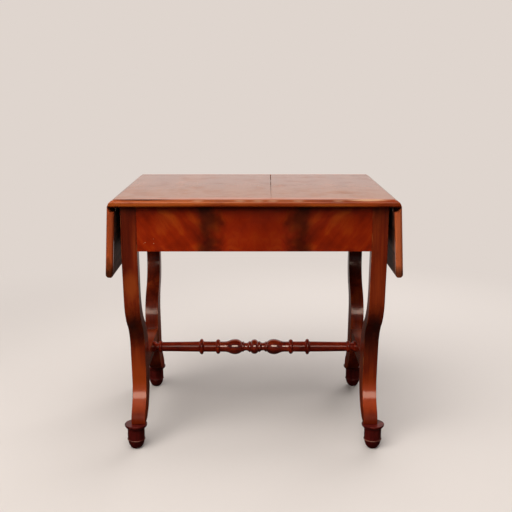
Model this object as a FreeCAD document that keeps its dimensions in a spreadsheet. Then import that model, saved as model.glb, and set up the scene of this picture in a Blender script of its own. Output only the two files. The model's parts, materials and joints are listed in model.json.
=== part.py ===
import FreeCAD, Part
import math
import os
import re

import Sketcher

# Drop-leaf work table in mahogany.
# Origin: on the floor under the middle of the top. +Z is up, +X runs along the apron to the
# right, and +Y runs from the front to the back. All lengths are millimetres.

SIZES = {
    # Fixed top
    "top_height": 750,
    "top_thickness": 21,
    "top_depth": 622,
    "lipping_width": 14,
    "nose_upper_round": 10,
    "nose_lower_round": 6,
    "board_joint_x": 46,
    "board_joint_skew": 8,
    "shrinkage_gap": 2.4,
    # Rule joint between the top and each hanging leaf
    "hinge_pin_x": 386,
    "pin_rise": 2,
    "joint_step": 3,
    "joint_clearance": 0.5,
    "leaf_reach": 200,
    "leaf_lean": 3,
    # Back-flap hinges let into the underside
    "hinge_setback": 66,
    "hinge_width": 50,
    "hinge_knuckle_width": 16,
    "hinge_knuckle_radius": 3.5,
    "hinge_pin_radius": 1.5,
    "hinge_bore_clearance": 0.05,
    "hinge_side_clearance": 0.4,
    "top_flap_length": 36,
    "leaf_flap_length": 52,
    "flap_thickness": 2.4,
    "recess_clearance": 0.3,
    # Aprons and end rails
    "front_overhang": 30,
    "apron_height": 129,
    "apron_thickness": 22,
    "veneer_thickness": 2,
    "end_rail_thickness": 22,
    "rail_tenon_length": 17,
    "rail_tenon_thickness": 9,
    "rail_tenon_shoulder": 20,
    "tenon_clearance": 0.1,
    # S-shaped legs, sawn from thick board
    "leg_setback": 12.5,
    "leg_thickness": 45.5,
    "leg_taper": 10.5,
    "leg_lean": 6,
    "leg_width": 36,
    "knee_height": 487,
    "bend_inset": 32,
    "waist_shoulder": 12,
    "waist_outer_y": 207,
    "waist_inner_y": 126,
    "arch_height": 200,
    "toe_height": 35,
    "base_outer_y": 266,
    "base_inner_y": 222,
    # Turned feet
    "foot_inset": 22.5,
    "foot_offset": 11,
    "foot_height": 75,
    "foot_sole_radius": 13,
    "foot_bun_radius": 24,
    "foot_bun_height": 25,
    "foot_bead_radius": 26.5,
    "foot_bead_width": 4,
    "foot_drum_radius": 25,
    "foot_collar_drop": 11,
    "foot_disc_radius": 33,
    "foot_disc_edge": 3,
    "foot_dowel_radius": 6,
    "foot_dowel_length": 16,
    # Cross rail between the waists of one end, and the long turned stretcher
    "cross_rail_setback": 4,
    "cross_rail_thickness": 36,
    "cross_rail_height": 48,
    "cross_tenon_length": 24,
    "cross_tenon_thickness": 12,
    "cross_tenon_shoulder": 8,
    "stretcher_rise": 28,
    "stretcher_tenon_radius": 9,
    "stretcher_tenon_length": 24,
    "knop_half_width": 11.5,
    "knop_radius": 23.5,
    "knop_edge_radius": 17,
    "collar_width": 8,
    "collar_root_radius": 15,
    "collar_radius": 17.5,
    "neck_width": 15,
    "neck_radius": 12.5,
    "neck_ring_width": 5,
    "neck_ring_radius": 17,
    "vase_shoulder_length": 22.5,
    "vase_belly_radius": 24.5,
    "vase_taper_length": 36,
    "shaft_radius": 16.5,
    "inner_bead_offset": 19,
    "inner_bead_width": 13,
    "inner_bead_radius": 23.5,
    "outer_bead_offset": 53,
    "outer_bead_width": 11,
    "outer_bead_radius": 25,
    "outer_flank_length": 5,
    "outer_flank_rise": 2.5,
    "shaft_end_radius": 14.8,
    "end_bead_setback": 24,
    "end_bead_width": 12,
    "end_bead_radius": 19,
    "end_neck_radius": 11.5,
    "end_bell_length": 7,
    "end_bell_radius": 17.5,
    # Wooden fly brackets that swing out under an open leaf
    "bracket_thickness": 20,
    "bracket_clearance": 0.6,
    "bracket_height": 118,
    "bracket_top_gap": 0.5,
    "bracket_rail_length": 150,
    "fly_length": 165,
    "fly_tip_height": 38,
    "fly_tip_flat": 24,
    "fly_root_flat": 36,
    "bracket_pin_radius": 3,
    "bracket_finger_gap": 0.5,
    # Glue blocks rubbed into the corner under the top
    "glue_block_size": 22,
    "glue_block_length": 70,
    "apron_block_spacing": 210,
    "end_block_spacing": 240,
}

# Places that follow from the sizes
UNDERSIDE = "(top_height - top_thickness)"
PIN_HEIGHT = f"({UNDERSIDE} + pin_rise)"
OVOLO = "(top_thickness - pin_rise - joint_step)"
COVE = f"({OVOLO} + joint_clearance)"
TOP_EDGE = f"(hinge_pin_x + {OVOLO})"
TOP_FRONT = "(top_depth / 2)"
BOARD_END = f"({TOP_FRONT} - lipping_width)"
BOARD_JOINT_BACK = "(board_joint_x + board_joint_skew)"
HINGE_Y = f"({TOP_FRONT} - hinge_setback)"
KNUCKLE_REACH = "(hinge_knuckle_radius + hinge_side_clearance)"
HINGE_BORE = "(hinge_pin_radius + hinge_bore_clearance)"
FRAME_FRONT = f"({TOP_FRONT} - front_overhang)"
LEG_BACK = f"({FRAME_FRONT} - leg_width)"
LEG_OUTER = "(hinge_pin_x - leg_setback)"
LEG_INNER = f"({LEG_OUTER} - leg_thickness)"
LEG_INNER_BASE = f"({LEG_INNER} - leg_lean)"
APRON_BOTTOM = f"({UNDERSIDE} - apron_height)"
APRON_FACE = f"({FRAME_FRONT} - veneer_thickness)"
APRON_INNER = f"({APRON_FACE} - apron_thickness)"
BRACKET_FACE = "(hinge_pin_x - pin_rise - bracket_clearance)"
END_FACE = f"({BRACKET_FACE} - bracket_thickness)"
END_INNER = f"({END_FACE} - end_rail_thickness)"
WAIST_TOP = "(arch_height + cross_rail_height + waist_shoulder)"
FOOT_X = f"({LEG_OUTER} - foot_inset)"
FOOT_Y = "((base_outer_y + base_inner_y) / 2 + foot_offset)"
CROSS_INNER = f"({LEG_INNER_BASE} + cross_rail_setback)"
STRETCHER_HEIGHT = "(arch_height + stretcher_rise)"
NECK_START = "(knop_half_width + collar_width)"
NECK_MIDDLE = f"({NECK_START} + neck_width / 2)"
NECK_END = f"({NECK_START} + neck_width)"
VASE_BELLY = f"({NECK_END} + neck_ring_width + vase_shoulder_length)"
VASE_END = f"({VASE_BELLY} + vase_taper_length)"
INNER_BEAD = f"({VASE_END} + inner_bead_offset)"
OUTER_BEAD = f"({INNER_BEAD} + outer_bead_offset)"
END_BEAD = f"({CROSS_INNER} - end_bead_setback)"
END_NECK = f"({END_BEAD} + end_bead_width / 2)"

SIDES = {"left": -1, "right": 1}
ENDS = {"front": -1, "back": 1}

doc = FreeCAD.newDocument("work_table")
sheet = doc.addObject("Spreadsheet::Sheet", "Sizes")
for row, (alias, value) in enumerate(SIZES.items(), start=1):
    sheet.set(f"A{row}", alias)
    sheet.set(f"B{row}", str(value))
    sheet.setAlias(f"B{row}", alias)
doc.recompute()

bodies = []
cuts = []


def sized(text):
    """Point every size name of an expression at its cell in the sheet."""
    def cell(match):
        word = match.group(0)
        return f"Sizes.{word}" if word in SIZES else word
    return re.sub(r"[a-z_]+", cell, text)


def number(text):
    """Present value of an expression on the sizes."""
    return float(sheet.evalExpression(sized(text)))


def times(sign, text):
    """The expression, mirrored when the sign is -1."""
    return f"{sign} * ({text})"


def span(sign, near, far):
    """Low and high ends of a stretch that is mirrored when the sign is -1."""
    ends = (times(sign, near), times(sign, far))
    return ends if sign > 0 else ends[::-1]


def rectangle(low_u, high_u, low_v, high_v):
    """Corners of an upright rectangle."""
    return [(low_u, low_v), (high_u, low_v), (high_u, high_v), (low_u, high_v)]


def circle(centre_u, centre_v, radius):
    """A full circle as a loop of its own."""
    return ("circle", centre_u, centre_v, radius)


def arc_centre(start, end, axis, place):
    """Centre of the arc through two points when one of its coordinates is known."""
    middle = (start + end) * 0.5
    chord = end - start
    if axis == "u":
        return FreeCAD.Vector(place, middle.y - (place - middle.x) * chord.x / chord.y, 0)
    return FreeCAD.Vector(middle.x - (place - middle.y) * chord.y / chord.x, place, 0)


def short_arc(start, end, centre):
    """The shorter arc between two points, and whether it runs backwards."""
    spoke = start - centre
    other = end - centre
    first = math.atan2(spoke.y, spoke.x)
    last = math.atan2(other.y, other.x)
    backwards = (last - first) % (2 * math.pi) > math.pi
    if backwards:
        first, last = last, first
    ring = Part.Circle(centre, FreeCAD.Vector(0, 0, 1), spoke.Length)
    return Part.ArcOfCircle(ring, first, last), backwards


def pin_point(sketch, geometry, point, place_u, place_v):
    """Hold a sketch point at a place given by two expressions."""
    for kind, place in (("DistanceX", place_u), ("DistanceY", place_v)):
        if place is None:
            continue
        rule = Sketcher.Constraint(kind, -1, 1, geometry, point, number(place))
        index = sketch.addConstraint(rule)
        sketch.setExpression(f"Constraints[{index}]", sized(place))


def draw_circle(sketch, loop):
    """Draw one dimensioned circle."""
    _, centre_u, centre_v, radius = loop
    centre = FreeCAD.Vector(number(centre_u), number(centre_v), 0)
    ring = sketch.addGeometry(Part.Circle(centre, FreeCAD.Vector(0, 0, 1), number(radius)), False)
    pin_point(sketch, ring, 3, centre_u, centre_v)
    index = sketch.addConstraint(Sketcher.Constraint("Radius", ring, number(radius)))
    sketch.setExpression(f"Constraints[{index}]", sized(radius))


def draw_loop(sketch, loop):
    """Draw one closed outline.

    A corner (u, v) is reached by a straight edge. A corner (u, v, axis, place) is reached by
    an arc whose centre has that place on the u or the v axis.
    """
    points = [FreeCAD.Vector(number(corner[0]), number(corner[1]), 0) for corner in loop]
    edges = []
    for index, corner in enumerate(loop):
        start, end = points[index - 1], points[index]
        if len(corner) == 2:
            geometry = sketch.addGeometry(Part.LineSegment(start, end), False)
            edges.append((geometry, 1, 2))
            continue
        axis, place = corner[2], corner[3]
        arc, backwards = short_arc(start, end, arc_centre(start, end, axis, number(place)))
        geometry = sketch.addGeometry(arc, False)
        edges.append((geometry, 2, 1) if backwards else (geometry, 1, 2))
        pin_point(sketch, geometry, 3, place if axis == "u" else None, place if axis == "v" else None)
    for index, (geometry, _, last) in enumerate(edges):
        following, first, _ = edges[(index + 1) % len(edges)]
        sketch.addConstraint(Sketcher.Constraint("Coincident", geometry, last, following, first))
        pin_point(sketch, geometry, last, loop[index][0], loop[index][1])


def sketch_on(body, plane, loops, offset):
    """A sketch on one of the body's own origin planes, moved along the plane's normal."""
    sketch = body.newObject("Sketcher::SketchObject", "outline")
    support = next(feature for feature in body.Origin.OriginFeatures if feature.Role == plane)
    sketch.AttachmentSupport = [(support, "")]
    sketch.MapMode = "FlatFace"
    sketch.setExpression("AttachmentOffset.Base.z", sized(offset))
    for loop in loops:
        if loop[0] == "circle":
            draw_circle(sketch, loop)
        else:
            draw_loop(sketch, loop)
    return sketch


def new_body(label):
    """An empty sub-part, named as its file is."""
    body = doc.addObject("PartDesign::Body", label)
    body.Label = label
    bodies.append(body)
    return body


def add(body, plane, loops, low, high):
    """Pad outlines between two places on the axis that is square to their plane."""
    start = times(-1, high) if plane == "XZ_Plane" else low
    pad = body.newObject("PartDesign::Pad", "pad")
    sketch = sketch_on(body, plane, loops, start)
    pad.Profile = sketch
    pad.setExpression("Length", sized(f"({high}) - ({low})"))
    body.Tip = pad
    return body


def cut(body, plane, loops, low, high):
    """Pocket outlines between two places on the axis that is square to their plane."""
    start = times(-1, low) if plane == "XZ_Plane" else high
    before = body.Tip
    pocket = body.newObject("PartDesign::Pocket", "pocket")
    sketch = sketch_on(body, plane, loops, start)
    pocket.Profile = sketch
    pocket.setExpression("Length", sized(f"({high}) - ({low})"))
    body.Tip = pocket
    cuts.append((body.Label, before, pocket))
    return body


def turn(body, plane, loop, axis):
    """Turn an outline about one of its sketch's axes."""
    revolution = body.newObject("PartDesign::Revolution", "turning")
    sketch = sketch_on(body, plane, [loop], "0")
    revolution.Profile = sketch
    revolution.ReferenceAxis = (sketch, [axis])
    revolution.Angle = 360
    body.Tip = revolution
    return body


def place(body, base, axis=None, angle=None):
    """Move a sub-part to its place, turned about one axis where that is given."""
    if axis is not None:
        body.Placement = FreeCAD.Placement(FreeCAD.Vector(), FreeCAD.Rotation(axis, number(angle)))
        body.setExpression("Placement.Rotation.Angle", sized(angle))
    for name, text in zip("xyz", base):
        body.setExpression(f"Placement.Base.{name}", sized(text))


def ovolo_edge(side, rising=True):
    """Section of the top's edge at a rule joint, from the underside to the top face or back."""
    corners = [
        (times(side, TOP_EDGE), UNDERSIDE),
        (times(side, TOP_EDGE), PIN_HEIGHT),
        (times(side, "hinge_pin_x"), f"{PIN_HEIGHT} + {OVOLO}"),
        (times(side, "hinge_pin_x"), "top_height"),
    ]
    if not rising:
        corners.reverse()
    corners[2] = (*corners[2], "v", PIN_HEIGHT)
    return corners


def nose_corners(end, face, upper, lower):
    """The two spandrels that are moulded off a front or back edge, seen from the side."""
    upper_start = f"({face}) - nose_upper_round"
    lower_start = f"({face}) - nose_lower_round"
    return [
        [
            (times(end, face), upper),
            (times(end, face), f"({upper}) - nose_upper_round"),
            (times(end, upper_start), upper, "v", f"({upper}) - nose_upper_round"),
        ],
        [
            (times(end, face), lower),
            (times(end, face), f"({lower}) + nose_lower_round"),
            (times(end, lower_start), lower, "v", f"({lower}) + nose_lower_round"),
        ],
    ]


def hinge_slot(end):
    """Front-to-back stretch that one hinge's recess takes."""
    half = "hinge_width / 2 + recess_clearance"
    return f"{times(end, HINGE_Y)} - ({half})", f"{times(end, HINGE_Y)} + {half}"


def make_top_board(side_name):
    """One board of the fixed top, with its ovolo edge and the recesses for two hinges."""
    side = SIDES[side_name]
    inner = BOARD_JOINT_BACK if side < 0 else "board_joint_x"
    body = new_body(f"top_board_{side_name}")
    section = [(inner, UNDERSIDE), *ovolo_edge(side), (inner, "top_height")]
    add(body, "XZ_Plane", [section], times(-1, BOARD_END), BOARD_END)
    front = ("board_joint_x", times(-1, BOARD_END))
    if side < 0:
        waste = [front, (BOARD_JOINT_BACK, times(-1, BOARD_END)), (BOARD_JOINT_BACK, BOARD_END)]
    else:
        waste = [front, (f"{BOARD_JOINT_BACK} + shrinkage_gap", BOARD_END), ("board_joint_x", BOARD_END)]
    cut(body, "XY_Plane", [waste], UNDERSIDE, "top_height")
    inner_end = "hinge_pin_x - top_flap_length - recess_clearance"
    recess = span(side, inner_end, TOP_EDGE)
    slots = [rectangle(*recess, *hinge_slot(end)) for end in ENDS.values()]
    cut(body, "XY_Plane", slots, UNDERSIDE, f"{UNDERSIDE} + flap_thickness + recess_clearance")
    groove = circle(times(side, "hinge_pin_x"), PIN_HEIGHT, KNUCKLE_REACH)
    for end in ENDS.values():
        cut(body, "XZ_Plane", [groove], *hinge_slot(end))


def make_top_lipping(end_name):
    """Moulded lipping that covers the boards' end grain along the front or back edge."""
    end = ENDS[end_name]
    body = new_body(f"top_{end_name}_lipping")
    section = [*ovolo_edge(1), *ovolo_edge(-1, rising=False)]
    add(body, "XZ_Plane", [section], *span(end, BOARD_END, TOP_FRONT))
    noses = nose_corners(end, TOP_FRONT, "top_height", UNDERSIDE)
    cut(body, "YZ_Plane", noses, times(-1, TOP_EDGE), TOP_EDGE)


def leaf_section(side):
    """Section of an open leaf about its hinge pin: cove, face, rounded edge, underside."""
    face = "(top_thickness - pin_rise)"
    cove_top = f"sqrt({COVE} ^ 2 - joint_clearance ^ 2)"
    return [
        (times(side, COVE), "-pin_rise"),
        (times(side, COVE), "0"),
        (times(side, "joint_clearance"), cove_top, "v", "0"),
        (times(side, "joint_clearance"), face),
        (times(side, "leaf_reach - nose_upper_round"), face),
        (times(side, "leaf_reach"), f"{face} - nose_upper_round", "v", f"{face} - nose_upper_round"),
        (times(side, "leaf_reach"), "nose_lower_round - pin_rise"),
        (times(side, "leaf_reach - nose_lower_round"), "-pin_rise", "v", "nose_lower_round - pin_rise"),
    ]


def hang(body, side):
    """Place a leaf piece on its hinge pin, hanging down with its slight outward lean."""
    axis = FreeCAD.Vector(0, side, 0)
    place(body, (times(side, "hinge_pin_x"), "0", PIN_HEIGHT), axis, "90 - leaf_lean")


def make_leaf(side_name):
    """One drop leaf: its board with hinge recesses, and a moulded lipping at each end."""
    side = SIDES[side_name]
    board = new_body(f"{side_name}_leaf_board")
    add(board, "XZ_Plane", [leaf_section(side)], times(-1, BOARD_END), BOARD_END)
    recess = span(side, "0", "leaf_flap_length + recess_clearance")
    slots = [rectangle(*recess, *hinge_slot(end)) for end in ENDS.values()]
    cut(board, "XY_Plane", slots, "-pin_rise", "flap_thickness + recess_clearance - pin_rise")
    hang(board, side)
    for end_name, end in ENDS.items():
        lipping = new_body(f"{side_name}_leaf_{end_name}_lipping")
        add(lipping, "XZ_Plane", [leaf_section(side)], *span(end, BOARD_END, TOP_FRONT))
        noses = nose_corners(end, TOP_FRONT, "top_thickness - pin_rise", "-pin_rise")
        cut(lipping, "YZ_Plane", noses, *span(side, "0", "leaf_reach"))
        hang(lipping, side)


def knuckle_bands(end):
    """The three stretches of one hinge's barrel: outer, middle and outer."""
    middle = times(end, HINGE_Y)
    half_width = "hinge_width / 2"
    half_knuckle = "hinge_knuckle_width / 2"
    gap = "hinge_side_clearance"
    return [
        (f"{middle} - {half_width}", f"{middle} - {half_knuckle} - {gap}"),
        (f"{middle} - {half_knuckle}", f"{middle} + {half_knuckle}"),
        (f"{middle} + {half_knuckle} + {gap}", f"{middle} + {half_width}"),
    ]


def make_hinges(side_name):
    """Two back-flap hinges: flaps under the top, flaps in the leaf, and their pins."""
    side = SIDES[side_name]
    pin_x = times(side, "hinge_pin_x")
    top_flaps = new_body(f"{side_name}_hinge_top_flaps")
    leaf_flaps = new_body(f"{side_name}_hinge_leaf_flaps")
    pins = new_body(f"{side_name}_hinge_pins")
    top_plate = span(side, "hinge_pin_x - top_flap_length", f"hinge_pin_x - {KNUCKLE_REACH}")
    top_tongue = span(side, f"hinge_pin_x - {KNUCKLE_REACH}", "hinge_pin_x")
    leaf_plate = span(side, KNUCKLE_REACH, "leaf_flap_length")
    leaf_tongue = span(side, "0", KNUCKLE_REACH)
    flap_levels = (UNDERSIDE, f"{UNDERSIDE} + flap_thickness")
    leaf_levels = ("-pin_rise", "flap_thickness - pin_rise")
    bands = {end: knuckle_bands(end) for end in ENDS.values()}
    full = {end: (bands[end][0][0], bands[end][2][1]) for end in ENDS.values()}
    barrel = circle(pin_x, PIN_HEIGHT, "hinge_knuckle_radius")
    leaf_barrel = circle("0", "0", "hinge_knuckle_radius")
    add(top_flaps, "XY_Plane", [rectangle(*top_plate, *full[end]) for end in full], *flap_levels)
    add(top_flaps, "XY_Plane", [rectangle(*top_tongue, *bands[end][1]) for end in bands], *flap_levels)
    add(leaf_flaps, "XY_Plane", [rectangle(*leaf_plate, *full[end]) for end in full], *leaf_levels)
    tongues = [rectangle(*leaf_tongue, *bands[end][part]) for end in bands for part in (0, 2)]
    add(leaf_flaps, "XY_Plane", tongues, *leaf_levels)
    for end in bands:
        first, middle, last = bands[end]
        add(top_flaps, "XZ_Plane", [barrel], *middle)
        add(leaf_flaps, "XZ_Plane", [leaf_barrel], *first)
        add(leaf_flaps, "XZ_Plane", [leaf_barrel], *last)
        cut(top_flaps, "XZ_Plane", [circle(pin_x, PIN_HEIGHT, HINGE_BORE)], *middle)
        cut(leaf_flaps, "XZ_Plane", [circle("0", "0", HINGE_BORE)], *full[end])
        add(pins, "XZ_Plane", [circle(pin_x, PIN_HEIGHT, "hinge_pin_radius")], *full[end])
    hang(leaf_flaps, side)


def tenon_levels(extra):
    """Low and high edge of an apron or end-rail tenon, or of its mortise."""
    low = f"{APRON_BOTTOM} + rail_tenon_shoulder - {extra}"
    high = f"{UNDERSIDE} - rail_tenon_shoulder + {extra}"
    return low, high


def apron_tenon(end, extra):
    """Front-to-back stretch of an apron tenon, or of its mortise."""
    middle = f"{APRON_FACE} - apron_thickness / 2"
    half = f"rail_tenon_thickness / 2 + {extra}"
    return span(end, f"{middle} - ({half})", f"{middle} + {half}")


def end_rail_tenon(side, extra):
    """Side-to-side stretch of an end-rail tenon, or of its mortise."""
    middle = f"{END_FACE} - end_rail_thickness / 2"
    half = f"rail_tenon_thickness / 2 + {extra}"
    return span(side, f"{middle} - ({half})", f"{middle} + {half}")


def cross_tenon(side, extra):
    """Side-to-side stretch of a cross-rail tenon, or of its mortise."""
    middle = f"{CROSS_INNER} + cross_rail_thickness / 2"
    half = f"cross_tenon_thickness / 2 + {extra}"
    return span(side, f"{middle} - ({half})", f"{middle} + {half}")


def cross_tenon_levels(extra):
    """Low and high edge of a cross-rail tenon, or of its mortise."""
    low = f"arch_height + cross_tenon_shoulder - {extra}"
    high = f"arch_height + cross_rail_height - cross_tenon_shoulder + {extra}"
    return low, high


def make_apron(end_name):
    """Apron board tenoned into two legs, faced with two book-matched leaves of veneer."""
    end = ENDS[end_name]
    body = new_body(f"{end_name}_apron")
    outline = rectangle(times(-1, LEG_INNER), LEG_INNER, *span(end, APRON_INNER, APRON_FACE))
    add(body, "XY_Plane", [outline], APRON_BOTTOM, UNDERSIDE)
    tenon = rectangle(*apron_tenon(end, "0"), *tenon_levels("0"))
    for side in SIDES.values():
        add(body, "YZ_Plane", [tenon], *span(side, LEG_INNER, f"{LEG_INNER} + rail_tenon_length"))
    for side_name, side in SIDES.items():
        veneer = new_body(f"{end_name}_veneer_{side_name}")
        leaf = rectangle(*span(side, "0", LEG_INNER), *span(end, APRON_FACE, FRAME_FRONT))
        add(veneer, "XY_Plane", [leaf], APRON_BOTTOM, UNDERSIDE)


def make_end_rail(side_name):
    """Rail between the two legs of one end, behind the fly bracket."""
    side = SIDES[side_name]
    body = new_body(f"{side_name}_end_rail")
    outline = rectangle(*span(side, END_INNER, END_FACE), times(-1, LEG_BACK), LEG_BACK)
    add(body, "XY_Plane", [outline], APRON_BOTTOM, UNDERSIDE)
    tenon = rectangle(*end_rail_tenon(side, "0"), *tenon_levels("0"))
    for end in ENDS.values():
        add(body, "XZ_Plane", [tenon], *span(end, LEG_BACK, f"{LEG_BACK} + rail_tenon_length"))


def leg_outline(end):
    """Side view of a leg: straight head, S-bend to the waist, flare to the toe, arch."""
    outer_knee = "(knee_height - bend_inset)"
    outer_waist = f"({WAIST_TOP} + bend_inset)"
    bend_middle = f"(knee_height + {WAIST_TOP}) / 2"
    toe_share = "toe_height / (arch_height - foot_height)"
    toe_y = f"base_outer_y - (base_outer_y - waist_outer_y) * {toe_share}"
    outline = [
        (FRAME_FRONT, UNDERSIDE),
        (FRAME_FRONT, outer_knee),
        (f"({FRAME_FRONT} + waist_outer_y) / 2", bend_middle, "v", outer_knee),
        ("waist_outer_y", outer_waist, "v", outer_waist),
        ("waist_outer_y", "arch_height"),
        (toe_y, "foot_height + toe_height", "v", "arch_height"),
        ("base_outer_y", "foot_height", "v", "foot_height"),
        ("base_inner_y", "foot_height"),
        ("waist_inner_y", "arch_height", "v", "arch_height"),
        ("waist_inner_y", WAIST_TOP),
        (f"({LEG_BACK} + waist_inner_y) / 2", bend_middle, "v", WAIST_TOP),
        (LEG_BACK, "knee_height", "v", "knee_height"),
        (LEG_BACK, UNDERSIDE),
    ]
    return [(times(end, corner[0]), *corner[1:]) for corner in outline]


def make_leg(end_name, side_name):
    """One S-shaped leg, leaning in a little below the apron, with its mortises cut."""
    end = ENDS[end_name]
    side = SIDES[side_name]
    body = new_body(f"{end_name}_{side_name}_leg")
    add(body, "YZ_Plane", [leg_outline(end)], *span(side, LEG_INNER_BASE, LEG_OUTER))
    outer_wedge = [
        (times(side, LEG_OUTER), APRON_BOTTOM),
        (times(side, f"{LEG_OUTER} - leg_taper"), "foot_height"),
        (times(side, LEG_OUTER), "foot_height"),
    ]
    inner_wedge = [
        (times(side, LEG_INNER_BASE), "foot_height"),
        (times(side, LEG_INNER), APRON_BOTTOM),
        (times(side, LEG_INNER), UNDERSIDE),
        (times(side, LEG_INNER_BASE), UNDERSIDE),
    ]
    for wedge in (outer_wedge, inner_wedge):
        cut(body, "XZ_Plane", [wedge], *span(end, "waist_inner_y", FRAME_FRONT))
    gap = "tenon_clearance"
    apron_depth = f"{LEG_INNER} + rail_tenon_length + {gap}"
    apron_mortise = rectangle(*apron_tenon(end, gap), *tenon_levels(gap))
    cut(body, "YZ_Plane", [apron_mortise], *span(side, LEG_INNER, apron_depth))
    end_depth = f"{LEG_BACK} + rail_tenon_length + {gap}"
    end_mortise = rectangle(*end_rail_tenon(side, gap), *tenon_levels(gap))
    cut(body, "XZ_Plane", [end_mortise], *span(end, LEG_BACK, end_depth))
    cross_depth = f"waist_inner_y + cross_tenon_length + {gap}"
    cross_mortise = rectangle(*cross_tenon(side, gap), *cross_tenon_levels(gap))
    cut(body, "XZ_Plane", [cross_mortise], *span(end, "waist_inner_y", cross_depth))
    socket = circle(times(side, FOOT_X), times(end, FOOT_Y), f"foot_dowel_radius + {gap}")
    cut(body, "XY_Plane", [socket], "foot_height", f"foot_height + foot_dowel_length + {gap}")


def make_foot(end_name, side_name):
    """Turned foot: tapering bun, fine bead, drum, flared disc and the dowel into the leg."""
    bead_middle = "foot_bun_height + foot_bead_width / 2"
    bead_upper = "foot_bun_height + foot_bead_width"
    disc_lower = "foot_height - foot_disc_edge"
    body = new_body(f"{end_name}_{side_name}_foot")
    outline = [
        ("0", "0"),
        ("foot_sole_radius", "0"),
        ("foot_bun_radius", "foot_bun_height", "v", "foot_bun_height"),
        ("foot_bead_radius", bead_middle, "v", bead_middle),
        ("foot_drum_radius", bead_upper, "v", bead_middle),
        ("foot_drum_radius", "foot_height - foot_collar_drop"),
        ("foot_disc_radius", disc_lower, "v", disc_lower),
        ("foot_disc_radius", "foot_height - foot_disc_edge / 2"),
        ("foot_disc_radius - foot_disc_edge", "foot_height"),
        ("foot_dowel_radius", "foot_height"),
        ("foot_dowel_radius", "foot_height + foot_dowel_length"),
        ("0", "foot_height + foot_dowel_length"),
    ]
    turn(body, "XZ_Plane", outline, "V_Axis")
    place(body, (times(SIDES[side_name], FOOT_X), times(ENDS[end_name], FOOT_Y), "0"))


def make_cross_rail(side_name):
    """Short rail that ties the waists of one end and carries the long stretcher."""
    side = SIDES[side_name]
    body = new_body(f"{side_name}_cross_rail")
    width = span(side, CROSS_INNER, f"{CROSS_INNER} + cross_rail_thickness")
    outline = rectangle(*width, times(-1, "waist_inner_y"), "waist_inner_y")
    add(body, "XY_Plane", [outline], "arch_height", "arch_height + cross_rail_height")
    tenon = rectangle(*cross_tenon(side, "0"), *cross_tenon_levels("0"))
    for end in ENDS.values():
        add(body, "XZ_Plane", [tenon], *span(end, "waist_inner_y", "waist_inner_y + cross_tenon_length"))
    socket = circle("0", STRETCHER_HEIGHT, "stretcher_tenon_radius + tenon_clearance")
    depth = f"{CROSS_INNER} + stretcher_tenon_length + tenon_clearance"
    cut(body, "YZ_Plane", [socket], *span(side, CROSS_INNER, depth))


def bead(middle, width, root, crown):
    """A turned bead: up one arc to its crown and down another."""
    return [
        (f"{middle} - {width} / 2", root),
        (middle, crown, "u", middle),
        (f"{middle} + {width} / 2", root, "u", middle),
    ]


def make_stretcher():
    """Long turned stretcher: knop, necks, vases, beads and tapering shafts."""
    taper_middle = f"({VASE_BELLY} + {VASE_END}) / 2"
    flank = f"({OUTER_BEAD} - outer_bead_width / 2 - outer_flank_length)"
    far_flank = f"({OUTER_BEAD} + outer_bead_width / 2 + outer_flank_length)"
    flank_radius = "shaft_radius + outer_flank_rise"
    root = "collar_root_radius"
    half = [
        ("0", "knop_radius"),
        ("knop_half_width", "knop_edge_radius", "u", "0"),
        *bead("knop_half_width + collar_width / 2", "collar_width", root, "collar_radius"),
        (NECK_MIDDLE, "neck_radius", "u", NECK_MIDDLE),
        (NECK_END, root, "u", NECK_MIDDLE),
        *bead(f"{NECK_END} + neck_ring_width / 2", "neck_ring_width", root, "neck_ring_radius")[1:],
        (VASE_BELLY, "vase_belly_radius", "u", VASE_BELLY),
        (taper_middle, "(vase_belly_radius + shaft_radius) / 2", "u", VASE_BELLY),
        (VASE_END, "shaft_radius", "u", VASE_END),
        *bead(INNER_BEAD, "inner_bead_width", "shaft_radius", "inner_bead_radius"),
        (flank, "shaft_radius"),
        (f"{flank} + outer_flank_length", flank_radius, "u", flank),
        *bead(OUTER_BEAD, "outer_bead_width", flank_radius, "outer_bead_radius")[1:],
        (far_flank, "shaft_radius", "u", far_flank),
        *bead(END_BEAD, "end_bead_width", "shaft_end_radius", "end_bead_radius"),
        (END_NECK, "end_neck_radius"),
        (f"{CROSS_INNER} - end_bell_length", "end_bell_radius", "u", END_NECK),
        (CROSS_INNER, "end_bell_radius"),
        (CROSS_INNER, "stretcher_tenon_radius"),
        (f"{CROSS_INNER} + stretcher_tenon_length", "stretcher_tenon_radius"),
        (f"{CROSS_INNER} + stretcher_tenon_length", "0"),
        ("0", "0"),
    ]
    body = new_body("centre_stretcher")
    turn(body, "XZ_Plane", half, "H_Axis")
    mirror = body.newObject("PartDesign::Mirrored", "other_half")
    mirror.Originals = [body.Tip]
    middle = next(feature for feature in body.Origin.OriginFeatures if feature.Role == "YZ_Plane")
    mirror.MirrorPlane = (middle, [""])
    body.Tip = mirror
    place(body, ("0", "0", STRETCHER_HEIGHT))


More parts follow.
